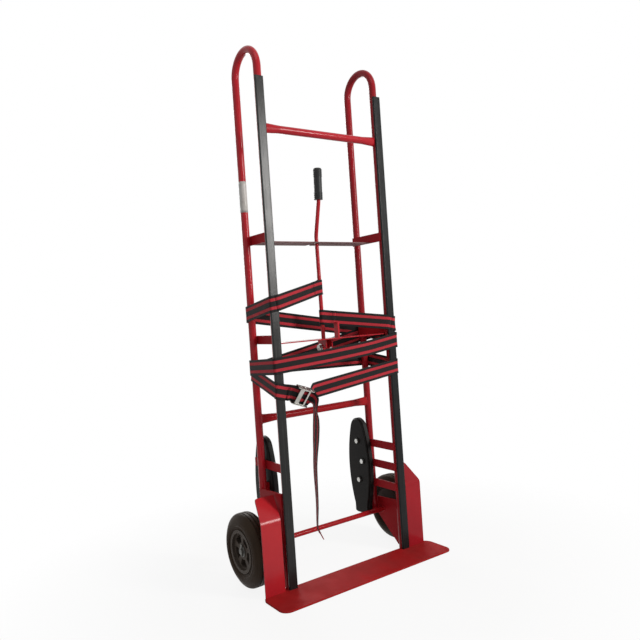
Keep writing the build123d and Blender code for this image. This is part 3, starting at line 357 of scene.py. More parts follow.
@dataclass(frozen=True)
class Finish:
    """A painted, rubber, plastic or metal surface with tone, grain, worn edges and dust."""

    name: str
    colour: Colour
    tone: Colour
    roughness: float
    spread: float = 0.12
    metallic: float = 0.0
    coat: float = 0.0
    coat_roughness: float = 0.1
    specular: float = 0.3
    grain_scale: float = 400.0
    grain_depth: float = 0.00012
    patches: float = 9.0
    streak_share: float = 0.0
    streak_across: float = 260.0
    streak_range: tuple[float, float] = (1.2, 1.9)
    edge_width: float = 0.001
    edge_colour: Colour = (0.3, 0.28, 0.26)
    edge_wear: float = 0.0
    dust_colour: Colour = (0.42, 0.38, 0.33)
    dust: float = 0.0
    dust_roughness: float = 0.35

    def make(self, effects: Effects) -> bpy.types.Material:
        """Build the finish's material.

        Args:
            effects: The shared effects.

        Returns:
            The material.
        """
        material, tree, shader = start_material(self.name)
        grain = tree.group(effects.grain, Scale=self.grain_scale, Patches=self.patches)
        edges = tree.group(effects.edges, Width=self.edge_width)
        tone = grain.outputs["Tone"]
        if self.streak_share:
            streaks = tree.group(effects.streaks, Across=self.streak_across)
            low, high = self.streak_range
            tone = tree.ramp(tree.sum("ADD", tone, streaks.outputs["Mask"]), low - self.streak_share, high)
        colour = tree.mix(tone, self.colour, self.tone)
        if self.edge_wear:
            worn = tree.sum("MULTIPLY", edges.outputs["Mask"], self.edge_wear)
            colour = tree.mix(worn, colour, self.edge_colour)
        rough = tree.around(tone, self.roughness, self.spread)
        if self.dust:
            dust = tree.group(effects.dust, Amount=self.dust).outputs["Mask"]
            colour = tree.mix(dust, colour, self.dust_colour)
            rough = tree.sum("ADD", rough, tree.sum("MULTIPLY", dust, self.dust_roughness))
        bump = tree.add("ShaderNodeBump", {
            "Height": grain.outputs["Height"],
            "Distance": self.grain_depth,
            "Normal": edges.outputs["Normal"],
        })
        tree.feed(shader, {
            "Base Color": colour,
            "Roughness": rough,
            "Normal": bump.outputs[0],
            "Metallic": self.metallic,
            "Coat Weight": self.coat,
            "Coat Roughness": self.coat_roughness,
            "Specular IOR Level": self.specular,
        })
        return material


@dataclass(frozen=True)
class WovenFinish:
    """Webbing: dark yarn with two lengthwise stripes."""

    name: str = "striped_webbing"
    colour: Colour = (0.008, 0.0075, 0.0075)
    worn: Colour = (0.016, 0.0148, 0.0145)
    stripe: Colour = (0.56, 0.034, 0.05)
    stripe_worn: Colour = (0.4, 0.027, 0.038)
    roughness: float = 0.62
    spread: float = 0.2
    sunk: float = 0.45
    sheen: float = 0.04
    specular: float = 0.12
    depth: float = 0.0004

    def make(self, effects: Effects) -> bpy.types.Material:
        """Build the webbing's material.

        Args:
            effects: The shared effects.

        Returns:
            The material.
        """
        material, tree, shader = start_material(self.name)
        weave = tree.group(effects.weave)
        low = tree.ramp(weave.outputs["Height"], 0.0, 1.0, 1.0, self.sunk)
        yarn = tree.sum("MULTIPLY", weave.outputs["Thread"], low)
        dark = tree.mix(yarn, self.colour, self.worn)
        bright = tree.mix(yarn, self.stripe, self.stripe_worn)
        bump = tree.add("ShaderNodeBump", {"Height": weave.outputs["Height"], "Distance": self.depth})
        tree.feed(shader, {
            "Base Color": tree.mix(weave.outputs["Stripe"], dark, bright),
            "Roughness": tree.around(weave.outputs["Thread"], self.roughness, self.spread),
            "Normal": bump.outputs[0],
            "Sheen Weight": self.sheen,
            "Specular IOR Level": self.specular,
        })
        return material


FINISHES: dict[Slot, Finish | WovenFinish] = {
    Slot.PAINT: Finish(
        "red_enamel", (0.53, 0.017, 0.028), (0.46, 0.014, 0.023), 0.17, spread=0.06, specular=0.17,
        grain_scale=320.0, grain_depth=0.00003, edge_width=0.0009, edge_colour=(0.2, 0.09, 0.07),
        edge_wear=0.35, dust=0.02),
    Slot.COVER: Finish(
        "extruded_rubber", (0.014, 0.0135, 0.013), (0.023, 0.0225, 0.0215), 0.28, spread=0.08,
        specular=0.24, grain_scale=900.0, grain_depth=0.0001, patches=16.0, streak_share=0.5,
        edge_width=0.0012),
    Slot.TYRE: Finish(
        "solid_tyre", (0.026, 0.015, 0.0085), (0.035, 0.021, 0.0125), 0.5, specular=0.07,
        grain_scale=1300.0, grain_depth=0.0003, patches=22.0, edge_width=0.0012,
        dust_colour=(0.2, 0.16, 0.12), dust=0.14),
    Slot.HUB: Finish(
        "moulded_hub", (0.064, 0.048, 0.038), (0.074, 0.057, 0.046), 0.5, specular=0.1, grain_scale=1600.0,
        grain_depth=0.00015, edge_width=0.0012, edge_colour=(0.09, 0.08, 0.07), edge_wear=0.3, dust=0.1),
    Slot.CLIMBER: Finish(
        "moulded_climber", (0.0095, 0.0085, 0.0078), (0.015, 0.0135, 0.0125), 0.38, specular=0.07,
        grain_scale=1500.0, grain_depth=0.00018, edge_width=0.0014, edge_colour=(0.06, 0.058, 0.055),
        edge_wear=0.4, dust=0.05),
    Slot.BELT: Finish(
        "climber_belt", (0.011, 0.0105, 0.01), (0.02, 0.0185, 0.0175), 0.45, specular=0.12,
        grain_scale=700.0, grain_depth=0.0003, patches=40.0, edge_width=0.0015, dust=0.06),
    Slot.ZINC: Finish(
        "zinc_plate", (0.56, 0.56, 0.54), (0.44, 0.43, 0.4), 0.3, metallic=1.0, grain_scale=1800.0,
        grain_depth=0.00008, patches=60.0, edge_width=0.0005, dust=0.08),
    Slot.BUCKLE: Finish(
        "pressed_steel", (0.5, 0.49, 0.46), (0.33, 0.31, 0.27), 0.3, metallic=1.0, grain_scale=2200.0,
        grain_depth=0.00008, patches=70.0, streak_share=0.4, streak_across=900.0, edge_width=0.0006,
        dust=0.06),
    Slot.WEBBING: WovenFinish(),
    Slot.GRIP: Finish(
        "ribbed_grip", (0.012, 0.013, 0.014), (0.02, 0.022, 0.023), 0.42, specular=0.25, grain_scale=1500.0,
        grain_depth=0.00016, edge_width=0.0008, dust=0.06),
}
# Scuffed, matt copy of the red paint on the toe plate, with worn edges; its darker colour is also painted
# shade for the upward top that the low lamp lights less.
TOE_FINISH = Finish(
    "scuffed_and_shaded_enamel", (0.41, 0.0135, 0.015), (0.32, 0.0135, 0.0145), 0.5, spread=0.2, specular=0.03,
    grain_scale=260.0, grain_depth=0.0002, patches=13.0, edge_width=0.0012, edge_colour=(0.2, 0.1, 0.08),
    edge_wear=0.5, dust=0.03)
# Duller copy of the red paint on the side plates and tie bars; its darker colour is painted shade for parts
# between the tubes and behind the wheels.
SHADED_PLATE_FINISH = Finish(
    "painted_shade_plate_enamel", (0.42, 0.014, 0.021), (0.36, 0.012, 0.018), 0.42, specular=0.06, grain_scale=320.0,
    grain_depth=0.0001, edge_width=0.0009, edge_colour=(0.2, 0.09, 0.07), edge_wear=0.3, dust=0.02)
FENDER_FINISH = replace(
    FINISHES[Slot.PAINT], name="polished_enamel", colour=(0.54, 0.015, 0.022), roughness=0.25, spread=0.03,
    specular=0.3, grain_depth=0.00001)
# Darker copy of the red paint on the right rail and the right fender: painted shade for the light that falls
# off towards the truck's right side.
FAR_SHADE_FINISH = replace(
    FINISHES[Slot.PAINT], name="painted_shade_enamel", colour=(0.37, 0.013, 0.021), tone=(0.31, 0.011, 0.018),
    specular=0.12)
# Darker copy of the red paint on the rear crossbar and the axle: painted shade.
SHADED_BAR_PAINT_FINISH = replace(
    FINISHES[Slot.PAINT], name="painted_shade_bar_enamel", colour=(0.43, 0.013, 0.018), tone=(0.37, 0.012, 0.016),
    specular=0.08)
# Darker copy of the cover rubber on the right cover: painted shade.
FAR_SHADE_COVER_FINISH = replace(
    FINISHES[Slot.COVER], name="painted_shade_rubber", colour=(0.011, 0.0115, 0.012), tone=(0.016, 0.0165, 0.017),
    specular=0.14)
# Greyed red on the guide plate: painted reflection of the pale background, seen at a grazing angle on its
# edge and underside.
GUIDE_FINISH = Finish(
    "painted_reflection_enamel", (0.26, 0.15, 0.15), (0.2, 0.12, 0.12), 0.6, specular=0.03, grain_scale=320.0,
    grain_depth=0.00014, edge_width=0.0009, edge_colour=(0.2, 0.09, 0.07), edge_wear=0.35, dust=0.03)
# Dark brown steel on the buckle pins: painted shade for the pins deep inside the buckle.
SHADED_PIN_FINISH = Finish(
    "painted_shade_pin_steel", (0.2, 0.12, 0.075), (0.12, 0.07, 0.045), 0.42, metallic=0.85, grain_scale=1500.0,
    grain_depth=0.0001, patches=120.0, edge_width=0.0004, dust=0.1)
AXLE_END_FINISH = Finish(
    "dull_steel", (0.16, 0.155, 0.145), (0.1, 0.095, 0.088), 0.45, metallic=0.9, grain_scale=1500.0,
    grain_depth=0.0001, patches=90.0, edge_width=0.0005, dust=0.15)
LABEL_FINISH = Finish(
    "blank_label", (0.62, 0.61, 0.58), (0.5, 0.49, 0.46), 0.45, spread=0.15, coat=0.1, grain_scale=900.0,
    grain_depth=0.00006, patches=60.0, edge_width=0.0003, dust=0.1)
THREAD_FINISH = Finish(
    "sewing_thread", (0.012, 0.012, 0.012), (0.03, 0.03, 0.03), 0.6, specular=0.15, grain_scale=3000.0,
    grain_depth=0.0001, patches=300.0, edge_width=0.0002)
RED_YARN_FINISH = Finish(
    "red_yarn", (0.42, 0.03, 0.04), (0.26, 0.02, 0.03), 0.7, specular=0.15, grain_scale=3000.0,
    grain_depth=0.0001, patches=300.0, edge_width=0.0002)
NODE_FINISHES: dict[str, Finish] = {
    "toe_plate": TOE_FINISH, "guide_plate": GUIDE_FINISH, "buckle_pins": SHADED_PIN_FINISH,
    "left_side_plate": SHADED_PLATE_FINISH, "right_side_plate": SHADED_PLATE_FINISH, "axle_washers": AXLE_END_FINISH,
    "cotter_pins": AXLE_END_FINISH, "right_side_rail": FAR_SHADE_FINISH, "right_fender": FAR_SHADE_FINISH,
    "left_fender": FENDER_FINISH, "rear_crossbar": SHADED_BAR_PAINT_FINISH, "axle": SHADED_BAR_PAINT_FINISH,
    "right_rail_cover": FAR_SHADE_COVER_FINISH, RIGHT_TIE: SHADED_PLATE_FINISH,
} | {f"{side.word}_{tie}": SHADED_PLATE_FINISH for side in Side for tie in TIES}


class Wardrobe:
    """Every finish's material, made once and handed out."""

    def __init__(self) -> None:
        """Build the shared effects."""
        self.effects = Effects()
        self.made: dict[str, bpy.types.Material] = {}

    def of(self, finish: Finish | WovenFinish | Slot) -> bpy.types.Material:
        """Find or make a material.

        Args:
            finish: A finish, or the slot that has one.

        Returns:
            The material.
        """
        if isinstance(finish, Slot):
            finish = FINISHES[finish]
        if finish.name not in self.made:
            self.made[finish.name] = finish.make(self.effects)
        return self.made[finish.name]

    def dress_frame(self, frame: dict[str, Any]) -> None:
        """Give every node of the frame its finish.

        Args:
            frame: The loaded frame.
        """
        for part in frame["record"]["subparts"]:
            node = part["node"]
            materials = frame["nodes"][node].data.materials
            materials.clear()
            materials.append(self.of(NODE_FINISHES.get(node, Slot(part["material_slot"]))))


def circle(count: int, radius: float = 1.0) -> list[tuple[float, float]]:
    """List the two coordinates of points spaced evenly round a circle."""
    angles = (2 * math.pi * spot / count for spot in range(count))
    return [(radius * math.cos(angle), radius * math.sin(angle)) for angle in angles]


class Solid:
    """Vertices and faces of one piece, gathered shape by shape."""

    first_lean = Vector((0.31, 0.17, 0.93))

    def __init__(self) -> None:
        """Start with nothing."""
        self.vertices: list[Vector] = []
        self.faces: list[list[int]] = []

    def rings(self, rings: Sequence[Sequence[Vector]], closed: bool = False) -> None:
        """Add a skin over rings of equal count, capped unless its ends join.

        Args:
            rings: The rings in order.
            closed: Whether the last ring joins the first.
        """
        base = len(self.vertices)
        count = len(rings[0])
        for ring in rings:
            self.vertices.extend(ring)
        steps = len(rings) if closed else len(rings) - 1
        for step in range(steps):
            near = base + step * count
            far = base + (step + 1) % len(rings) * count
            for spot in range(count):
                after = (spot + 1) % count
                self.faces.append([near + spot, near + after, far + after, far + spot])
        if not closed:
            self.faces.append([base + spot for spot in reversed(range(count))])
            last = base + (len(rings) - 1) * count
            self.faces.append([last + spot for spot in range(count)])

    def tube(self, path: Sequence[Vector], radii: Sequence[float], sides: int = 8,
             closed: bool = False) -> None:
        """Add a round tube along a path.

        Args:
            path: The middle of each ring.
            radii: The radius of each ring.
            sides: Points round each ring.
            closed: Whether the path is a loop.
        """
        rings = []
        lean = self.first_lean
        for index, place in enumerate(path):
            before = path[index - 1] if closed or index else place
            after = path[(index + 1) % len(path)] if closed or index + 1 < len(path) else place
            along = (after - before).normalized()
            first = (lean - along * lean.dot(along)).normalized()
            second = along.cross(first)
            rings.append([place + first * u + second * v for u, v in circle(sides, radii[index])])
            lean = first
        self.rings(rings, closed)

    def lathe(self, profile: Sequence[tuple[float, float]], place: Matrix, steps: int = 32) -> None:
        """Add a loop of radii and heights, clear of the axis, turned about the Z of a place."""
        rings = [[place @ Vector((r * u, r * v, z)) for r, z in profile] for u, v in circle(steps)]
        self.rings(rings, closed=True)

    def piece(self, name: str, smooth: bool = True) -> bpy.types.Object:
        """Make the gathered shapes into an object.

        Args:
            name: The piece's name.
            smooth: Whether its faces shade smoothly.

        Returns:
            The object, linked to the scene.
        """
        mesh = bpy.data.meshes.new(name)
        mesh.from_pydata(self.vertices, [], self.faces)
        clean = bmesh.new()
        clean.from_mesh(mesh)
        bmesh.ops.recalc_face_normals(clean, faces=clean.faces)
        clean.to_mesh(mesh)
        clean.free()
        mesh.polygons.foreach_set("use_smooth", [smooth] * len(mesh.polygons))
        made = bpy.data.objects.new(name, mesh)
        bpy.context.scene.collection.objects.link(made)
        return made


@dataclass
class Assembly:
    """A sub-assembly whose pieces are dressed from one wardrobe."""

    wardrobe: Wardrobe

    def dress(self, piece: bpy.types.Object, finish: Finish | Slot, slot: Slot | None = None,
              body: Body | None = Body.FRAME) -> bpy.types.Object:
        """Give a piece its material and the body that it rides on.

        Args:
            piece: The piece.
            finish: Its finish, or the slot that has one.
            slot: The record's slot that it belongs to, where the finish isn't one. It is not used.
            body: The body, if it rides on one alone.

        Returns:
            The same piece.
        """
        piece.data.materials.append(self.wardrobe.of(finish))
        slot = finish if isinstance(finish, Slot) else slot
        if body is not None:
            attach(piece, body.value)
        LOG.info("%s: %d faces", piece.name, len(piece.data.polygons))
        return piece


def mirrored(points: Iterable[Vector], side: Side) -> list[Vector]:
    """Put points of the right side onto a side, and return them."""
    return [Vector((point.x * side.value, point.y, point.z)) for point in points]


@dataclass(frozen=True)
class Places:
    """Sizes of the frame that pieces are placed by, read from its nodes."""

    rail_x: float
    tube_radius: float
    rail_depth: float
    cover_face: float
    cover_back: float
    cover_inner: float
    cover_outer: float

    @classmethod
    def read(cls) -> "Places":
        """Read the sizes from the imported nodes.

        Returns:
            The sizes.
        """
        low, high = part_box("right_side_rail")
        cover_low, cover_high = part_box("right_rail_cover")
        radius = (high.x - low.x) / 2
        return cls((low.x + high.x) / 2, radius, high.y - radius, cover_low.y, cover_high.y, cover_low.x,
                   cover_high.x)


@dataclass(frozen=True)
class Station:
    """A place on a strap's middle line, and the direction of its width."""

    place: Vector
    across: Vector


@dataclass
class Webbing:
    """Flat woven strap of one width and thickness, laid along stations."""

    width: float = 45 * MM
    thickness: float = 1.8 * MM
    gap: float = 0.3 * MM
    columns: int = 12
    selvedge: float = 0.975
    edge_share: float = 0.45
    border: float = 0.93
    step: float = 8 * MM

    @property
    def offset(self) -> float:
        """How far the middle line stays from what the strap lies on."""
        return self.gap + self.thickness / 2

    @property
    def layer(self) -> float:
        """The pitch from one layer to the next."""
        return self.thickness + 2 * self.gap

    def section(self) -> list[tuple[float, float]]:
        """List the points round the strap.

        Returns:
            The points, as shares of half the strap's width and half its thickness.
        """
        inner = [self.border * (2 * index / self.columns - 1) for index in range(self.columns + 1)]
        face = [-self.selvedge, *inner, self.selvedge]
        top = [(share, 1.0) for share in face]
        under = [(share, -1.0) for share in reversed(face)]
        edge = self.edge_share
        return top + [(1.0, edge), (1.0, -edge)] + under + [(-1.0, -edge), (-1.0, edge)]

    def fill(self, stations: Sequence[Station]) -> list[Station]:
        """Divide long runs.

        Args:
            stations: The stations at the ends of runs and round bends.

        Returns:
            The stations with more along each long run.
        """
        filled = [stations[0]]
        for first, second in zip(stations, stations[1:]):
            parts = max(1, round((second.place - first.place).length / self.step))
            for part in range(1, parts + 1):
                share = part / parts
                across = first.across.lerp(second.across, share).normalized()
                filled.append(Station(first.place.lerp(second.place, share), across))
        return filled

    @staticmethod
    def settle(stations: Sequence[Station], passes: int = 14) -> list[Station]:
        """Ease the strap's height where it turns from one slope to another.

        Args:
            stations: Closely spaced stations.
            passes: How far the easing spreads.

        Returns:
            The eased stations.
        """
        places = [station.place.copy() for station in stations]
        for _ in range(passes):
            for index in range(1, len(places) - 1):
                before, here, after = places[index - 1:index + 2]
                back = (here - before).length
                ahead = (after - here).length
                level = (before.z * ahead + after.z * back) / (back + ahead)
                here.z = (here.z + level) / 2
        return [Station(place, station.across) for place, station in zip(places, stations)]

    def axes(self, stations: Sequence[Station], index: int) -> tuple[Vector, Vector, Vector]:
        """Work out the strap's directions at a station.

        Args:
            stations: Closely spaced stations.
            index: The station's number.

        Returns:
            Along the strap, across it, and out of its face.
        """
        before = stations[max(index - 1, 0)].place
        after = stations[min(index + 1, len(stations) - 1)].place
        along = (after - before).normalized()
        across = stations[index].across
        across = (across - along * across.dot(along)).normalized()
        return along, across, across.cross(along)

    def lay(self, name: str, stations: Sequence[Station]) -> bpy.types.Object:
        """Make a strap along closely spaced stations.

        Args:
            name: The piece's name.
            stations: The stations.

        Returns:
            The strap, with its own lengths across and along it.
        """
        section = self.section()
        rings = []
        shares: list[float] = []
        lengths: list[float] = []
        run = 0.0
        half = self.width / 2
        thick = self.thickness / 2
        for index, station in enumerate(stations):
            _, across, out = self.axes(stations, index)
            if index:
                run += (station.place - stations[index - 1].place).length
            rings.append([station.place + across * (u * half) + out * (v * thick) for u, v in section])
            shares.extend(u for u, _ in section)
            lengths.extend([run] * len(section))
        solid = Solid()
        solid.rings(rings)
        strap = solid.piece(name)
        for word, values in (("across", shares), ("along", lengths)):
            strap.data.attributes.new(word, "FLOAT", "POINT").data.foreach_set("value", values)
        return strap


@dataclass
class Stitching:
    """Bar tacks: rows of thread across a strap, on both faces of its layers."""

    rows: int = 2
    row_pitch: float = 5 * MM
    stitches: int = 14
    thread: float = 0.45 * MM
    reach: float = 0.9
    arch: tuple[float, float] = (0.7, 5.2)
    shape: tuple[tuple[float, float], ...] = ((-0.5, 0.5), (-0.3, 0.9), (0.0, 1.0), (0.3, 0.9), (0.5, 0.5))

    def sew(self, solid: Solid, middle: Vector, axes: tuple[Vector, Vector, Vector], width: float,
            lifts: Sequence[float]) -> None:
        """Add one tack.

        Args:
            solid: What the thread goes into.
            middle: The tack's middle, on the strap's middle line.
            axes: Along, across and out of the strap there.
            width: The strap's width.
            lifts: How far out of the middle line each sewn face is.
        """
        along, across, out = axes
        span = width * self.reach
        length = span / self.stitches
        high, bow = self.arch
        radii = [self.thread * size for _, size in self.shape]
        for lift in lifts:
            sign = 1 if lift > 0 else -1
            for row in range(self.rows):
                start = middle + along * ((row - (self.rows - 1) / 2) * self.row_pitch) + out * lift
                for number in range(self.stitches):
                    centre = start + across * ((number + 0.5) * length - span / 2)
                    path = []
                    for share, _ in self.shape:
                        rise = sign * self.thread * (high - bow * share * share)
                        path.append(centre + across * (share * length) + out * rise)
                    solid.tube(path, radii, sides=6)


@dataclass
class Buckle(Assembly):
    """The cam buckle's own directions, and the rivet heads on its ears."""

    place: Point = (-146 * MM, -18 * MM, 532 * MM)
    tilt: float = -20.0
    tip: float = -27.0
    length: float = 55 * MM
    inside: float = 47.4 * MM
    sheet: float = 2 * MM
    loop_bar: tuple[float, float] = (-15 * MM, 3 * MM)
    turn_bar: tuple[float, float] = (0.0, 2.6 * MM)
    cam_pin: tuple[float, float] = (14 * MM, 2 * MM)
    cam_nose: float = 4.2 * MM
    rivet_rise: float = 1.3 * MM
    rivet_lip: float = 1.1 * MM
    rivet_sides: int = 18
    rivet_shares: tuple[float, ...] = (0.0, 0.35, 0.65, 0.88, 0.98)
    along: Vector = field(init=False)
    across: Vector = field(init=False)
    behind: Vector = field(init=False)

    def __post_init__(self) -> None:
        """Work out the directions along, across and behind the buckle."""
        tilt = math.radians(self.tilt)
        tip = math.radians(self.tip)
        self.along = Vector((math.cos(tilt), 0, math.sin(tilt)))
        level = Vector((-math.sin(tilt), 0, math.cos(tilt)))
        self.across = level * math.cos(tip) + Vector((0, math.sin(tip), 0))
        self.behind = self.across.cross(self.along)

    def at(self, along: float, depth: float) -> Vector:
        """Find the point this far along the strap and behind its line, midway across."""
        return Vector(self.place) + self.along * along + self.behind * depth

    def turn(self, bar: tuple[float, float], offset: float, towards: int, steps: int = 10) -> list[Station]:
        """Lay a half turn in front of the strap's line, round a bar.

        Args:
            bar: The bar's place along the buckle and its radius.
            offset: How far the strap's middle line is from the bar.
            towards: Which way the turn bulges along the buckle.
            steps: Steps of the turn.

        Returns:
            The turn's stations.
        """
        radius = bar[1] + offset
        stations = []
        for step in range(steps + 1):
            angle = math.pi * (0.5 - step / steps)
            place = self.at(bar[0] + towards * radius * math.cos(angle), radius * (math.sin(angle) - 1))
            stations.append(Station(place, self.across))
        return stations

    def build(self, webbing: Webbing) -> None:
        """Add the rivet heads at both ends of each pin.

        Args:
            webbing: The strap that the pins are spaced for.
        """
        turn = self.turn_bar[1] + webbing.offset
        depths = (self.loop_bar[1] + webbing.offset, turn, 2 * turn + webbing.offset + self.cam_nose)
        solid = Solid()
        for (along, radius), depth in zip((self.loop_bar, self.turn_bar, self.cam_pin), depths):
            wide = radius + self.rivet_lip
            for sign in (-1, 1):
                axis = self.across * sign
                centre = self.at(along, -depth) + axis * (self.inside / 2 + self.sheet)
                aside = axis.cross(self.along)
                rings = []
                for share in self.rivet_shares:
                    spots = circle(self.rivet_sides, wide * math.sqrt(1 - share * share))
                    middle = centre + axis * (share * self.rivet_rise)
                    rings.append([middle + self.along * u + aside * v for u, v in spots])
                solid.rings(rings)
        self.dress(solid.piece("buckle_rivets"), Slot.BUCKLE)


@dataclass
class FrayedEnd(Assembly):
    """Loose yarns, and a bundle of them twisted together, at the strap's cut end."""

    width: float
    seed: int = 7
    dark_spots: tuple[float, ...] = (-0.85, -0.7, -0.15, 0.1, 0.8)
    red_spots: tuple[float, ...] = (-0.55, -0.45, 0.4)
    length: float = 40 * MM
    shares: tuple[float, float] = (0.35, 0.6)
    tuck: float = 1 * MM
    drift: float = 0.45
    sideways: tuple[float, float] = (-0.2, 0.2)
    forward: tuple[float, float] = (-0.25, 0.1)
    phases: tuple[float, float] = (0, 6)
    waves: tuple[float, float] = (7, 6)
    curl: float = 1.2 * MM
    radius: float = 0.55 * MM
    thick: float = 1.15
    taper: float = 0.5
    steps: int = 12
    twist_end: Point = (-108 * MM, -26 * MM, 118 * MM)
    twist_radius: float = 1.2 * MM
    twist_taper: float = 0.35
    twist_turns: float = 2.2
    twist_steps: int = 24
    strands: int = 3

    def build(self, end: Vector, across: Vector) -> list[bpy.types.Object]:
        """Add the dark and the red yarns.

        Args:
            end: The middle of the cut end.
            across: The direction of the strap's width.

        Returns:
            The two pieces.
        """
        draw = random.Random(self.seed)
        dark = Solid()
        for spot in self.dark_spots:
            self.loose(dark, end + across * (spot * self.width / 2), draw)
        red = Solid()
        self.twist(red, end)
        for spot in self.red_spots:
            self.loose(red, end + across * (spot * self.width / 2), draw)
        return [self.dress(dark.piece("tail_dark_yarns"), THREAD_FINISH, Slot.WEBBING),
                self.dress(red.piece("tail_red_yarns"), RED_YARN_FINISH, Slot.WEBBING)]

    def loose(self, solid: Solid, edge: Vector, draw: random.Random) -> None:
        """Add one loose yarn.

        Args:
            solid: What the yarn goes into.
            edge: Where it leaves the cut end.
            draw: Where its length and curl are drawn from.
        """
        reach = self.length * draw.uniform(*self.shares)
        start = edge + Vector((0, 0, self.tuck))
        lean = self.drift + draw.uniform(*self.sideways)
        drift = Vector((lean, draw.uniform(*self.forward), -1)).normalized()
        phase = draw.uniform(*self.phases)
        path = []
        radii = []
        for step in range(self.steps + 1):
            share = step / self.steps
            first, second = (wave * share + phase for wave in self.waves)
            curl = Vector((math.sin(first), math.cos(second), 0)) * (self.curl * share)
            path.append(start + drift * (reach * share) + curl)
            radii.append(self.radius * (self.thick - self.taper * share))
        solid.tube(path, radii, sides=6)

    def twist(self, solid: Solid, start: Vector) -> None:
        """Add the thick bundle of yarn that hangs from the cut end, twisted of strands.

        Args:
            solid: What the yarn goes into.
            start: The middle of the cut end.
        """
        for strand in range(self.strands):
            path = []
            radii = []
            for step in range(self.twist_steps + 1):
                share = step / self.twist_steps
                radii.append(self.twist_radius * (1 - self.twist_taper * share))
                angle = 2 * math.pi * (strand / self.strands + self.twist_turns * share)
                curl = Vector((math.cos(angle), math.sin(angle), 0)) * radii[-1]
                path.append(start.lerp(Vector(self.twist_end), share) + curl)
            solid.tube(path, radii, sides=8)


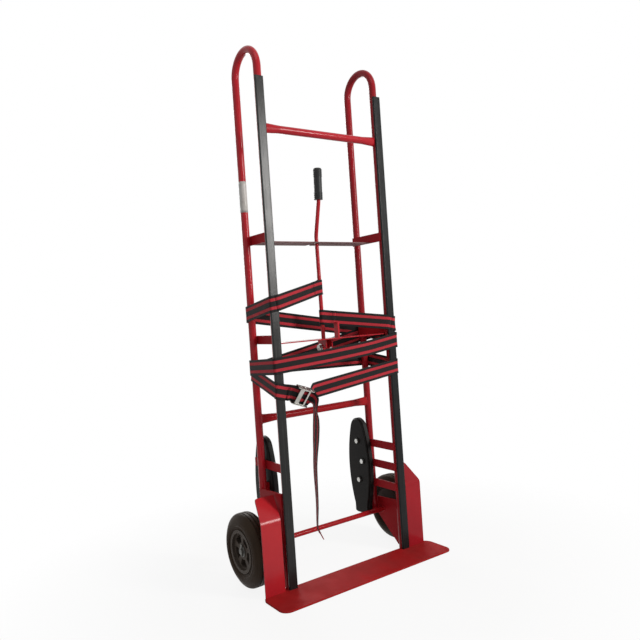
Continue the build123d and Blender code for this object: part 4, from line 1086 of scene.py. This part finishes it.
@dataclass
class Strap(Assembly):
    """The strap: two loops on the lever, the wound lengths, the buckle's turns and the free tail."""

    places: Places
    buckle: Buckle
    webbing: Webbing = field(default_factory=Webbing)
    stitching: Stitching = field(default_factory=Stitching)
    pivot: tuple[float, float] = (62 * MM, 652 * MM)
    knee: tuple[float, float] = (65 * MM, 990 * MM)
    lever_radius: float = 6 * MM
    cover_corner: float = 3 * MM
    sewn_length: float = 42 * MM
    tack_inset: float = 7 * MM
    level: float = 680 * MM
    left_loop: float = 834 * MM
    right_loop: float = 743 * MM
    loop_rises: tuple[float, float] = (112.3, 34.2)
    long_rises: tuple[float, ...] = (
        110.3, 107.8, 84.3, 12.5, -23, -38.5, -50.6, -61.7, -70.8, -83.5, -104.7, -107.8, -141.5)
    long_layers: tuple[int, ...] = (0, 1, 1, 1, 1, 1, 1, 0)
    short_rises: tuple[float, ...] = (31.5, 28, -2, -84, -128, -135.5)
    sag_x: tuple[float, ...] = (113.6 * MM, -37 * MM)
    bend_x: float = -95 * MM
    lead: float = 3 * MM
    return_end: float = 16 * MM
    fold_back: float = 30 * MM
    fold_most: float = 0.9
    loop_neck: float = 2.5
    loop_steps: int = 16
    loop_start: float = -80.0
    loop_sweep: float = -200.0
    corner_steps: int = 8
    tail_points: tuple[Point, ...] = (
        (32.0, -13.5, -19.0), (34.0, -15.0, -31.0), (35.0, -13.0, -45.0), (38.0, -11.0, -64.0),
        (37.5, -9.5, -90.0), (33.5, -9.0, -132.0), (29.0, -8.5, -170.0), (25.5, -8.0, -202.0),
        (24.5, -8.0, -242.0), (24.5, -8.0, -282.0), (23.5, -8.0, -320.0), (20.5, -8.0, -350.0),
        (19.0, -8.0, -377.0))
    tail_turns: tuple[float, ...] = (66, 66, 68, 76, 79, 77, 71, 69, 68, 66, 64, 62, 60)
    tail_leans: tuple[float, ...] = (0.5, 0.15)

    @property
    def face(self) -> float:
        """Y of the strap's middle line on the front of the covers."""
        return self.places.cover_face - self.webbing.offset

    def lever_y(self, height: float) -> float:
        """Find Y of the lever's middle line at a height."""
        share = (height - self.pivot[1]) / (self.knee[1] - self.pivot[1])
        return self.pivot[0] + share * (self.knee[0] - self.pivot[0])

    def round_corner(self, centre: tuple[float, float], radius: float, first: float, last: float,
                     side: Side) -> list[Vector]:
        """Draw the strap's turn round an upright corner, in plan.

        Args:
            centre: X and Y of the corner's centre on the right side.
            radius: The radius of the strap's middle line.
            first: The angle at the start, in degrees.
            last: The angle at the end, in degrees.
            side: The side that it is on.

        Returns:
            The points of the turn.
        """
        points = []
        for step in range(self.corner_steps + 1):
            angle = math.radians(first + (last - first) * step / self.corner_steps)
            outward = Vector((math.cos(angle), math.sin(angle), 0))
            points.append(Vector((*centre, 0)) + outward * radius)
        return mirrored(points, side)

    def wrap_front(self, side: Side, layer: int) -> list[Vector]:
        """Draw the strap's turn round a cover's outer front corner, from its front to its rear edge.

        Args:
            side: The side of the truck.
            layer: How many layers lie under it.

        Returns:
            The points of the turn, in plan.
        """
        centre = (self.places.cover_outer - self.cover_corner, self.places.cover_face + self.cover_corner)
        radius = self.cover_corner + self.webbing.offset + layer * self.webbing.layer
        rear = Vector((centre[0] + radius, self.places.cover_back + self.webbing.gap, 0))
        return self.round_corner(centre, radius, -90, 0, side) + mirrored([rear], side)

    def wrap_rear(self, side: Side, layer: int) -> list[Vector]:
        """Draw the strap's turn round a rear leg, from its outer side to its rear.

        Args:
            side: The side of the truck.
            layer: How many layers lie under it.

        Returns:
            The points of the turn, in plan.
        """
        radius = self.places.tube_radius + self.webbing.offset + layer * self.webbing.layer
        centre = (self.places.rail_x, self.places.rail_depth)
        return self.round_corner(centre, radius, 0, 90, side)

    @staticmethod
    def upright(x: float, y: float, z: float) -> Station:
        """Make a station with an upright width at X, Y and Z."""
        return Station(Vector((x, y, z)), Vector((0, 0, 1)))

    def once_round(self, side: Side, layers: Sequence[int]) -> list[list[Vector]]:
        """Draw the strap once round the frame, behind it from one side to the other.

        Args:
            side: The side that it starts from.
            layers: How many layers lie under each of its four turns.

        Returns:
            The points of each turn, in plan.
        """
        other = Side(-side.value)
        return [self.wrap_front(side, layers[0]), self.wrap_rear(side, layers[1]),
                self.wrap_rear(other, layers[2])[::-1], self.wrap_front(other, layers[3])[::-1]]

    def wind(self, turns: Sequence[list[Vector]], rises: Sequence[float]) -> list[Station]:
        """Lay the strap along turns, so that it rises evenly from the middle of one to the next.

        Args:
            turns: The points of each turn, in plan.
            rises: The height of each turn's middle over the lever plate, in millimetres.

        Returns:
            Closely spaced stations.
        """
        points: list[Vector] = []
        middles = []
        for turn in turns:
            middles.append(len(points) + len(turn) // 2)
            points += turn
        runs = [0.0]
        for first, second in zip(points, points[1:]):
            runs.append(runs[-1] + (second - first).length)
        stations = []
        for index, point in enumerate(points):
            ahead = (number for number, middle in enumerate(middles) if middle >= index)
            after = next(ahead, len(middles) - 1)
            before = max(after - 1, 0)
            span = max(runs[middles[after]] - runs[middles[before]], MM)
            share = (runs[index] - runs[middles[before]]) / span
            rise = rises[before] + (rises[after] - rises[before]) * share
            stations.append(self.upright(point.x, point.y, self.level + rise * MM))
        return self.webbing.settle(self.webbing.fill(stations))

    def long_stations(self) -> list[Station]:
        """Lay the long strap: twice round the frame and round the buckle's turning bar.

        Returns:
            Closely spaced stations.
        """
        turns = [[Vector((-self.places.rail_x, self.face, 0))]]
        turns += self.once_round(Side.LEFT, self.long_layers[:4])
        turns += [[Vector((x, self.face - self.webbing.layer, 0))] for x in self.sag_x]
        turns += self.once_round(Side.LEFT, self.long_layers[4:])
        turns += [[Vector((x, self.face, 0))] for x in (self.places.cover_inner, self.bend_x)]
        wound = self.wind(turns, self.long_rises)
        turned = [Station(self.buckle.at(self.buckle.length / 2 + self.lead, 0), self.buckle.across)]
        turned += self.buckle.turn(self.buckle.turn_bar, self.webbing.offset, -1)
        turned.append(Station(self.return_place(self.return_end), self.buckle.across))
        return self.webbing.fill(wound + turned)

    def return_place(self, along: float) -> Vector:
        """Find the strap's return in front of the turning bar, at a place along the buckle."""
        return self.buckle.at(along, -2 * (self.buckle.turn_bar[1] + self.webbing.offset))

    def short_stations(self) -> list[Station]:
        """Lay the short strap: once round the frame and back over itself at the buckle.

        Returns:
            Closely spaced stations.
        """
        turns = [[Vector((self.places.rail_x, self.face, 0))]]
        turns += self.once_round(Side.RIGHT, (0, 0, 0, 0))
        turns.append([Vector((-self.places.cover_inner, self.face, 0))])
        wound = self.wind(turns, self.short_rises)
        start = self.buckle.at(-self.buckle.length / 2 - self.lead, 0)
        turned = [Station(start, self.buckle.across)]
        turned += self.buckle.turn(self.buckle.loop_bar, self.webbing.offset, 1)
        bar = self.buckle.at(self.buckle.loop_bar[0], 0)
        run = bar - wound[-1].place
        share = min(self.fold_back / run.length, self.fold_most)
        over = Vector((0, -self.webbing.layer, 0))
        turned.append(Station(bar - run * (share / 2) + over, self.buckle.across))
        turned.append(Station(bar - run * share + over, Vector((0, 0, 1))))
        return self.webbing.fill(wound + turned)

    def loop_stations(self, side: Side, height: float, brink: float, end: float) -> list[Station]:
        """Lay a sewn loop round the lever and its run to the front of a cover.

        Args:
            side: The side that it runs to.
            height: The loop's height on the lever.
            brink: The strap's height at the cover's inner edge.
            end: The strap's height where the wound strap goes on.

        Returns:
            The stations from the sewn end to the cover.
        """
        lever = Vector((0, self.lever_y(height), height))
        edge = Vector((side.value * self.places.cover_inner, self.face, brink))
        level = Vector((edge.x - lever.x, edge.y - lever.y, 0))
        along = level.normalized()
        aside = Vector((-along.y, along.x, 0))
        slope = (brink - height) / level.length
        radius = self.lever_radius + self.webbing.offset
        clear = self.webbing.layer / 2
        neck = self.loop_neck * radius
        spots = [(self.sewn_length, -clear), (neck, -clear)]
        for step in range(self.loop_steps + 1):
            angle = math.radians(self.loop_start + self.loop_sweep * step / self.loop_steps)
            spots.append((radius * math.cos(angle), radius * math.sin(angle)))
        spots += [(neck, clear), (self.sewn_length, clear)]
        route = []
        for reach, off in spots:
            point = lever + along * reach + aside * off
            route.append(self.upright(point.x, point.y, height + slope * max(reach, 0)))
        route.append(self.upright(edge.x, edge.y, edge.z))
        route.append(self.upright(side.value * self.places.rail_x, self.face, end))
        return self.webbing.fill(route)

    def build_loop(self, side: Side) -> None:
        """Add one lever strap and its tack, bending from the frame to the lever.

        Args:
            side: The side that it runs to.
        """
        height = self.left_loop if side is Side.LEFT else self.right_loop
        brink = self.loop_rises[0] if side is Side.LEFT else self.loop_rises[1]
        rise = self.long_rises[0] if side is Side.LEFT else self.short_rises[0]
        stations = self.loop_stations(side, height, self.level + brink * MM, self.level + rise * MM)
        strap = self.webbing.lay(f"{side.word}_lever_strap", stations)
        self.dress(strap, Slot.WEBBING, body=None)
        tack_at = self.sewn_length - self.tack_inset
        lever = Vector((0, self.lever_y(height), height))
        number = next(index for index in reversed(range(len(stations)))
                      if (stations[index].place - lever).length < tack_at)
        solid = Solid()
        axes = self.webbing.axes(stations, number)
        middle = lever + (stations[number].place - lever).project(axes[0])
        face = self.webbing.layer / 2 + self.webbing.thickness / 2
        self.stitching.sew(solid, middle, axes, self.webbing.width, (-face, face))
        tack = solid.piece(f"{side.word}_lever_strap_tack")
        self.dress(tack, THREAD_FINISH, Slot.WEBBING, body=None)
        for piece in (strap, tack):
            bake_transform(piece)
        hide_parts(f"lever_strap_{side.word}")

    def tail_path(self) -> tuple[list[Vector], list[Vector]]:
        """Read the tail's smooth line and the width's direction along it.

        Returns:
            The line's points and the directions.
        """
        origin = Vector(self.buckle.place)
        controls = [self.return_place(self.return_end), self.return_place(self.return_end + self.lead)]
        controls += [origin + Vector(point) * MM for point in self.tail_points]
        widths = [self.buckle.across, self.buckle.across]
        leans = self.tail_leans + (0.0,) * (len(self.tail_turns) - len(self.tail_leans))
        for turn, lean in zip(self.tail_turns, leans):
            angle = math.radians(turn)
            level = Vector((-math.cos(angle), -math.sin(angle), 0))
            widths.append((self.buckle.across * lean + level * (1 - lean)).normalized())
        curve = bpy.data.curves.new("tail_line", "CURVE")
        curve.dimensions = "3D"
        curve.resolution_u = 8
        spline = curve.splines.new("NURBS")
        spline.points.add(len(controls) - 1)
        for point, place in zip(spline.points, controls):
            point.co = (*place, 1.0)
        spline.order_u = 3
        spline.use_endpoint_u = True
        holder = bpy.data.objects.new("tail_line", curve)
        mesh = bpy.data.meshes.new_from_object(holder)
        line = [vertex.co.copy() for vertex in mesh.vertices]
        for block, store in ((holder, bpy.data.objects), (mesh, bpy.data.meshes), (curve, bpy.data.curves)):
            store.remove(block)
        directions = []
        for index in range(len(line)):
            spot = index / (len(line) - 1) * (len(widths) - 1)
            first = min(int(spot), len(widths) - 2)
            directions.append(widths[first].lerp(widths[first + 1], spot - first).normalized())
        return line, directions

    def build_tail(self) -> None:
        """Add the free tail and the frayed yarns at its end."""
        line, directions = self.tail_path()
        stations = [Station(place, across) for place, across in zip(line, directions)]
        tail = self.webbing.lay("strap_tail_hanging", stations)
        self.dress(tail, Slot.WEBBING)
        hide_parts("strap_tail")
        yarns = FrayedEnd(self.wardrobe, self.webbing.width).build(line[-1], directions[-1])

    def build(self) -> None:
        """Add every length of the strap and its tacks."""
        for side in Side:
            self.build_loop(side)
        short = self.short_stations()
        for name, node, stations in (("long_strap_wound", "strap_long", self.long_stations()),
                                     ("short_strap_wound", "strap_short", short)):
            strap = self.webbing.lay(name, stations)
            self.dress(strap, Slot.WEBBING)
            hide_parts(node)
        solid = Solid()
        number = len(short) - 1 - round(self.tack_inset / self.webbing.step)
        axes = self.webbing.axes(short, number)
        face = self.webbing.thickness / 2
        self.stitching.sew(solid, short[number].place, axes, self.webbing.width, (face, -face))
        self.dress(solid.piece("buckle_loop_tack"), THREAD_FINISH, Slot.WEBBING)
        self.build_tail()


@dataclass
class Welds(Assembly):
    """Weld beads where the tubes, bars and plates of the frame meet."""

    places: Places
    radius: float = 1.7 * MM
    heavy: float = 1.5
    ripple: float = 0.16
    pitch: float = 3.2 * MM
    step: float = 1.1 * MM
    bar_height: float = 30 * MM
    bar_depth: float = 14 * MM
    fender_width: float = 62 * MM
    fender_sheet: float = 2.5 * MM
    plate_rise: float = 7 * MM
    plate_sunk: float = 0.8 * MM
    plate_share: float = 0.55
    heel: float = 92 * MM
    tie_shares: tuple[float, float] = (0.95, 0.42)
    end_share: float = 0.45
    slow_wave: tuple[float, float] = (0.4, 2.3)
    bar_steps: int = 36
    axle_steps: int = 28
    left_pad: str = "left_climber_pad"

    def bead(self, solid: Solid, path: Sequence[Vector], closed: bool = False, size: float = 1.0) -> None:
        """Add a rippled bead along a path.

        Args:
            solid: What the bead goes into.
            path: Corners of the path.
            closed: Whether it is a loop.
            size: Its radius as a share of the usual one.
        """
        corners = list(path) + ([path[0]] if closed else [])
        points: list[Vector] = []
        for first, second in zip(corners, corners[1:]):
            parts = max(1, round((second - first).length / self.step))
            points.extend(first.lerp(second, part / parts) for part in range(parts))
        if not closed:
            points.append(corners[-1])
        run = 0.0
        radii = []
        share, rate = self.slow_wave
        for index, point in enumerate(points):
            if index:
                run += (point - points[index - 1]).length
            wave = math.sin(2 * math.pi * run / self.pitch) + share * math.sin(rate * run / self.pitch)
            radii.append(size * self.radius * (1 + self.ripple * wave))
        if not closed:
            radii[0] = radii[-1] = self.radius * self.end_share
        solid.tube(points, radii, sides=8, closed=closed)

    def crossbar_ring(self, solid: Solid, node: str, y: float, side: Side) -> None:
        """Add the bead round a crossbar's flattened end.

        Args:
            solid: What the bead goes into.
            node: The crossbar's node.
            y: Y of the legs that it joins.
            side: The side of the end.
        """
        low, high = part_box(node)
        height = (low.z + high.z) / 2
        ring = []
        for deep, high_share in circle(self.bar_steps):
            off = self.bar_depth / 2 * deep
            reach = math.sqrt(self.places.tube_radius ** 2 - off ** 2)
            rise = self.bar_height / 2 * high_share
            ring.append(Vector((self.places.rail_x - reach, y + off, height + rise)))
        self.bead(solid, mirrored(ring, side), closed=True)

    def tie_lines(self, solid: Solid, node: str, side: Side, legs: Sequence[float]) -> None:
        """Add the upright beads between a tie bar and its legs.

        Args:
            solid: What the beads go into.
            node: The tie bar's node.
            side: The side of the truck.
            legs: Y of each leg.
        """
        low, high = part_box(node)
        inward, sideways = (share * self.places.tube_radius for share in self.tie_shares)
        x = self.places.rail_x - inward
        for y in legs:
            for aside in (y - sideways, y + sideways):
                ends = (low.z + self.radius, high.z - self.radius)
                self.bead(solid, mirrored([Vector((x, aside, height)) for height in ends], side))

    def plate_lines(self, solid: Solid, side: Side) -> None:
        """Add the beads of a fender, a side plate and the axle.

        Args:
            solid: What the beads go into.
            side: The side of the truck.
        """
        toe_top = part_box("toe_plate")[1].z
        low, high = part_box(f"{side.word}_fender")
        outer_x = high.x if side is Side.RIGHT else low.x
        inset = 2 * self.radius
        foot = [Vector((outer_x - side.value * off, low.y + self.fender_sheet, toe_top))
                for off in (inset, self.fender_width - inset)]
        self.bead(solid, foot)
        plate_low, plate_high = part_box(f"{side.word}_side_plate")
        inner_x = plate_low.x if side is Side.RIGHT else plate_high.x
        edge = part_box("toe_plate")[1].y
        self.bead(solid, [Vector((x, edge, toe_top)) for x in (foot[-1].x, inner_x)], size=self.heavy)
        aside = self.places.tube_radius * self.plate_share
        top = plate_high.z - inset
        for y, bottom, height in ((aside, toe_top + inset, top),
                                  (self.places.rail_depth - aside, self.heel, top - self.plate_rise)):
            x = inner_x - side.value * self.plate_sunk
            self.bead(solid, [Vector((x, y, z)) for z in (bottom, height)])
        axle_low, axle_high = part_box("axle")
        centre = (axle_low + axle_high) / 2
        reach = (axle_high.z - axle_low.z) / 2
        ring = [Vector((inner_x, centre.y + u, centre.z + v)) for u, v in circle(self.axle_steps, reach)]
        self.bead(solid, ring, closed=True)

    def build(self) -> None:
        """Add the beads of each side as one piece."""
        for side in Side:
            solid = Solid()
            self.crossbar_ring(solid, "top_crossbar", 0.0, side)
            self.crossbar_ring(solid, "rear_crossbar", self.places.rail_depth, side)
            legs = (0.0, self.places.rail_depth)
            for tie in TIES:
                self.tie_lines(solid, f"{side.word}_{tie}", side, legs)
            if side is Side.RIGHT:
                self.tie_lines(solid, RIGHT_TIE, side, legs)
            else:
                self.tie_lines(solid, self.left_pad, side, legs[1:])
            self.plate_lines(solid, side)
            self.dress(solid.piece(f"{side.word}_weld_beads"), Slot.PAINT)


@dataclass
class Climbers(Assembly):
    """Washers under the climber bolts' heads."""

    bolts: tuple[tuple[float, float], ...] = (
        (148 * MM, 328 * MM), (127 * MM, 264 * MM), (148 * MM, 201 * MM))
    inner: float = 5 * MM
    outer: float = 11.5 * MM
    thickness: float = 1.4 * MM
    edge: float = 0.3 * MM

    def build(self) -> None:
        """Add the washers of each climber as one piece."""
        for side in Side:
            low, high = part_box(f"{side.word}_climber_inner_cheek")
            face = low.x if side is Side.RIGHT else high.x
            turn = Matrix.Rotation(-side.value * math.pi / 2, 4, "Y")
            profile = [(self.inner, 0.0), (self.outer, 0.0), (self.outer, self.thickness - self.edge),
                       (self.outer - self.edge, self.thickness), (self.inner, self.thickness)]
            solid = Solid()
            for y, z in self.bolts:
                solid.lathe(profile, Matrix.Translation((face, y, z)) @ turn)
            self.dress(solid.piece(f"{side.word}_climber_washers", smooth=False), Slot.CLIMBER)


@dataclass
class Wheels(Assembly):
    """Moulded rings on the tyres' side walls, and the axle's bare steel ends."""

    rings: tuple[tuple[float, float], ...] = (
        (63.5 * MM, 25.4 * MM), (67 * MM, 26.9 * MM), (76 * MM, 28.7 * MM))
    ring_steps: int = 72
    bead: float = 0.9 * MM
    end_length: float = 7 * MM
    end_wall: float = 0.3 * MM

    def build_ends(self) -> None:
        """Add a bare cap over each end of the axle."""
        low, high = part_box("axle")
        middle = (low + high) / 2
        reach = (high.z - low.z) / 2 + self.end_wall
        profile = [(self.end_wall, -self.end_length), (reach, -self.end_length), (reach, -self.end_wall),
                   (reach - 2 * self.end_wall, self.end_wall), (self.end_wall, self.end_wall)]
        solid = Solid()
        for x, sign in ((low.x, -1), (high.x, 1)):
            turn = Matrix.Rotation(sign * math.pi / 2, 4, "Y")
            solid.lathe(profile, Matrix.Translation((x, middle.y, middle.z)) @ turn)
        self.dress(solid.piece("axle_ends", smooth=False), AXLE_END_FINISH, Slot.ZINC)

    def build(self, frame: dict[str, Any]) -> None:
        """Add the axle's ends, and the rings of each wheel as one piece.

        Args:
            frame: The loaded frame.
        """
        self.build_ends()
        for side, body in ((Side.LEFT, Body.LEFT_WHEEL), (Side.RIGHT, Body.RIGHT_WHEEL)):
            joint = next(joint for joint in frame["joints"] if joint["child"] == body.value)
            centre = Vector(joint["pos_m"])
            solid = Solid()
            for radius, aside in self.rings:
                for x in (-aside, aside):
                    path = [centre + Vector((x, u, v)) for u, v in circle(self.ring_steps, radius)]
                    solid.tube(path, [self.bead] * len(path), sides=6, closed=True)
            self.dress(solid.piece(f"{side.word}_tyre_rings"), Slot.TYRE, body=body)


@dataclass
class Label(Assembly):
    """The blank paper label wrapped round the left rear leg."""

    places: Places
    bottom: float = 1062 * MM
    top: float = 1152 * MM
    paper: float = 0.15 * MM
    glue: float = 0.1 * MM
    first: float = 120.0
    last: float = 425.0
    lift: float = 1.2 * MM
    lift_turn: float = 0.9
    lift_level: float = 0.55
    steps: int = 48
    rows: int = 10

    def build(self) -> None:
        """Add the label, with one corner lifting from the tube."""
        rings = []
        for step in range(self.steps + 1):
            share = step / self.steps
            angle = math.radians(self.first + (self.last - self.first) * share)
            outward = Vector((math.cos(angle), math.sin(angle), 0))
            outer = []
            inner = []
            for row in range(self.rows + 1):
                level = row / self.rows
                turned = max(0.0, (share - self.lift_turn) / (1 - self.lift_turn))
                raised = max(0.0, (level - self.lift_level) / (1 - self.lift_level))
                reach = self.places.tube_radius + self.glue + self.lift * turned ** 2 * raised
                height = self.bottom + (self.top - self.bottom) * level
                base = Vector((-self.places.rail_x, self.places.rail_depth, height))
                inner.append(base + outward * reach)
                outer.append(base + outward * (reach + self.paper))
            rings.append(outer + inner[::-1])
        solid = Solid()
        solid.rings(rings)
        self.dress(solid.piece("blank_label"), LABEL_FINISH)


@dataclass(frozen=True)
class Lamp:
    """A rectangular lamp."""

    name: str
    place: Point
    aim: Point
    size: tuple[float, float]
    power: float
    tint: Colour

    def build(self) -> None:
        """Add the lamp."""
        data = bpy.data.lights.new(self.name, "AREA")
        data.shape = "RECTANGLE"
        data.size, data.size_y = self.size
        data.energy = self.power
        data.color = self.tint
        lamp = bpy.data.objects.new(self.name, data)
        lamp.location = self.place
        lamp.rotation_mode = "QUATERNION"
        lamp.rotation_quaternion = (Vector(self.aim) - Vector(self.place)).to_track_quat("-Z", "Y")
        bpy.context.scene.collection.objects.link(lamp)


LAMPS = (
    Lamp("window_light", place=(1.35, -2.45, 1.55), aim=(-0.1, 0.0, 0.85), size=(0.6, 1.1), power=58.0,
         tint=(1.0, 0.985, 0.96)),
    Lamp("ceiling_light", place=(-0.6, -0.9, 2.9), aim=(0.0, 0.0, 0.7), size=(1.4, 1.0), power=8.0,
         tint=(1.0, 0.99, 0.97)),
    Lamp("left_fill", place=(-2.6, 0.3, 1.5), aim=(0.0, 0.0, 0.8), size=(1.2, 1.6), power=4.0,
         tint=(0.96, 0.98, 1.0)),
    Lamp("rear_fill", place=(0.7, 2.6, 1.7), aim=(0.0, 0.1, 0.75), size=(1.4, 1.4), power=32.0,
         tint=(1.0, 0.99, 0.97)),
)


@dataclass
class Studio:
    """Floor, light and the photograph's camera."""

    focal_pixels: float = 632.02
    frame_pixels: float = 640.0
    azimuth: float = 35.019
    pitch: float = -0.558
    roll: float = -3.882
    eye: Point = (-1.1022, -1.4988, 0.7537)
    floor_radius: float = 1.1
    floor_drop: float = 0.5 * MM
    floor_sides: int = 96
    floor_colour: Colour = (0.82, 0.82, 0.81)
    floor_glow: float = 0.88
    floor_fade: tuple[float, float] = (0.45, 0.98)
    world_light: float = 0.22

    def camera(self) -> None:
        """Add the camera where the photograph was taken from."""
        data = bpy.data.cameras.new("photo_camera")
        data.sensor_width = 36.0
        data.lens = self.focal_pixels / self.frame_pixels * data.sensor_width
        turn, pitch, roll = (math.radians(value) for value in (self.azimuth, self.pitch, self.roll))
        forward = Vector((math.sin(turn), math.cos(turn), 0))
        ahead = forward * math.cos(pitch) + Vector((0, 0, math.sin(pitch)))
        level = Vector((math.cos(turn), -math.sin(turn), 0))
        upright = level.cross(ahead)
        right = level * math.cos(roll) + upright * math.sin(roll)
        up = upright * math.cos(roll) - level * math.sin(roll)
        camera = bpy.data.objects.new("photo_camera", data)
        facing = Matrix((right, up, -ahead)).transposed().to_4x4()
        camera.matrix_world = Matrix.Translation(self.eye) @ facing
        bpy.context.scene.collection.objects.link(camera)
        bpy.context.scene.camera = camera

    @staticmethod
    def seen_rays(tree: Tree) -> Socket:
        """Find the rays that show the background: from the camera, mirrored or let through.

        Args:
            tree: The tree to add to.

        Returns:
            A socket that is 1 for those rays.
        """
        rays = tree.add("ShaderNodeLightPath").outputs
        both = tree.sum("MAXIMUM", rays["Is Camera Ray"], rays["Is Glossy Ray"])
        return tree.sum("MAXIMUM", both, rays["Is Transmission Ray"])

    def world(self) -> None:
        """Light the scene softly from all round, in front of a white background."""
        world = bpy.data.worlds.new("studio_world")
        bpy.context.scene.world = world
        world.use_nodes = True
        tree = Tree(world.node_tree)
        strength = tree.ramp(self.seen_rays(tree), 0.0, 1.0, self.world_light, 1.0)
        tree.feed(world.node_tree.nodes["Background"], {"Color": (1, 1, 1, 1), "Strength": strength})

    def floor(self) -> None:
        """Add a pale floor that takes the shadow and fades into the background."""
        solid = Solid()
        rim = circle(self.floor_sides, self.floor_radius)
        solid.vertices = [Vector((u, v, -self.floor_drop)) for u, v in rim]
        solid.faces = [list(range(self.floor_sides))]
        floor = solid.piece("studio_floor", smooth=False)
        material, tree, shader = start_material("pale_floor")
        material.node_tree.nodes.remove(shader)
        matt = tree.add("ShaderNodeBsdfDiffuse", {"Color": (*self.floor_colour, 1)})
        glow = tree.add("ShaderNodeEmission", {"Color": (1, 1, 1, 1), "Strength": 1.0})
        seen = tree.sum("MULTIPLY", self.seen_rays(tree), self.floor_glow)
        pale = tree.add("ShaderNodeMixShader", {0: seen, 1: matt.outputs[0], 2: glow.outputs[0]})
        place = tree.add("ShaderNodeTexCoord").outputs["Object"]
        reach = tree.add("ShaderNodeVectorMath", {0: place}, operation="LENGTH").outputs["Value"]
        fade = tree.ramp(reach, *(share * self.floor_radius for share in self.floor_fade))
        clear = tree.add("ShaderNodeBsdfTransparent")
        mixed = tree.add("ShaderNodeMixShader", {0: fade, 1: pale.outputs[0], 2: clear.outputs[0]})
        tree.feed(material.node_tree.nodes["Material Output"], {"Surface": mixed.outputs[0]})
        floor.data.materials.append(material)

    def build(self) -> None:
        """Add the camera, the floor and every light."""
        self.camera()
        self.world()
        self.floor()
        for lamp in LAMPS:
            lamp.build()
        bpy.context.scene.view_settings.view_transform = "Standard"


def main() -> None:
    """Load the frame, dress it and set up the studio."""
    logging.basicConfig(level=logging.INFO, format="%(name)s: %(message)s")
    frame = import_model()
    wardrobe = Wardrobe()
    wardrobe.dress_frame(frame)
    places = Places.read()
    buckle = Buckle(wardrobe)
    strap = Strap(wardrobe, places, buckle)
    Studio().build()
    strap.build()
    buckle.build(strap.webbing)
    Welds(wardrobe, places).build()
    Climbers(wardrobe).build()
    Wheels(wardrobe).build(frame)
    Label(wardrobe, places).build()


if __name__ == "__main__":
    main()
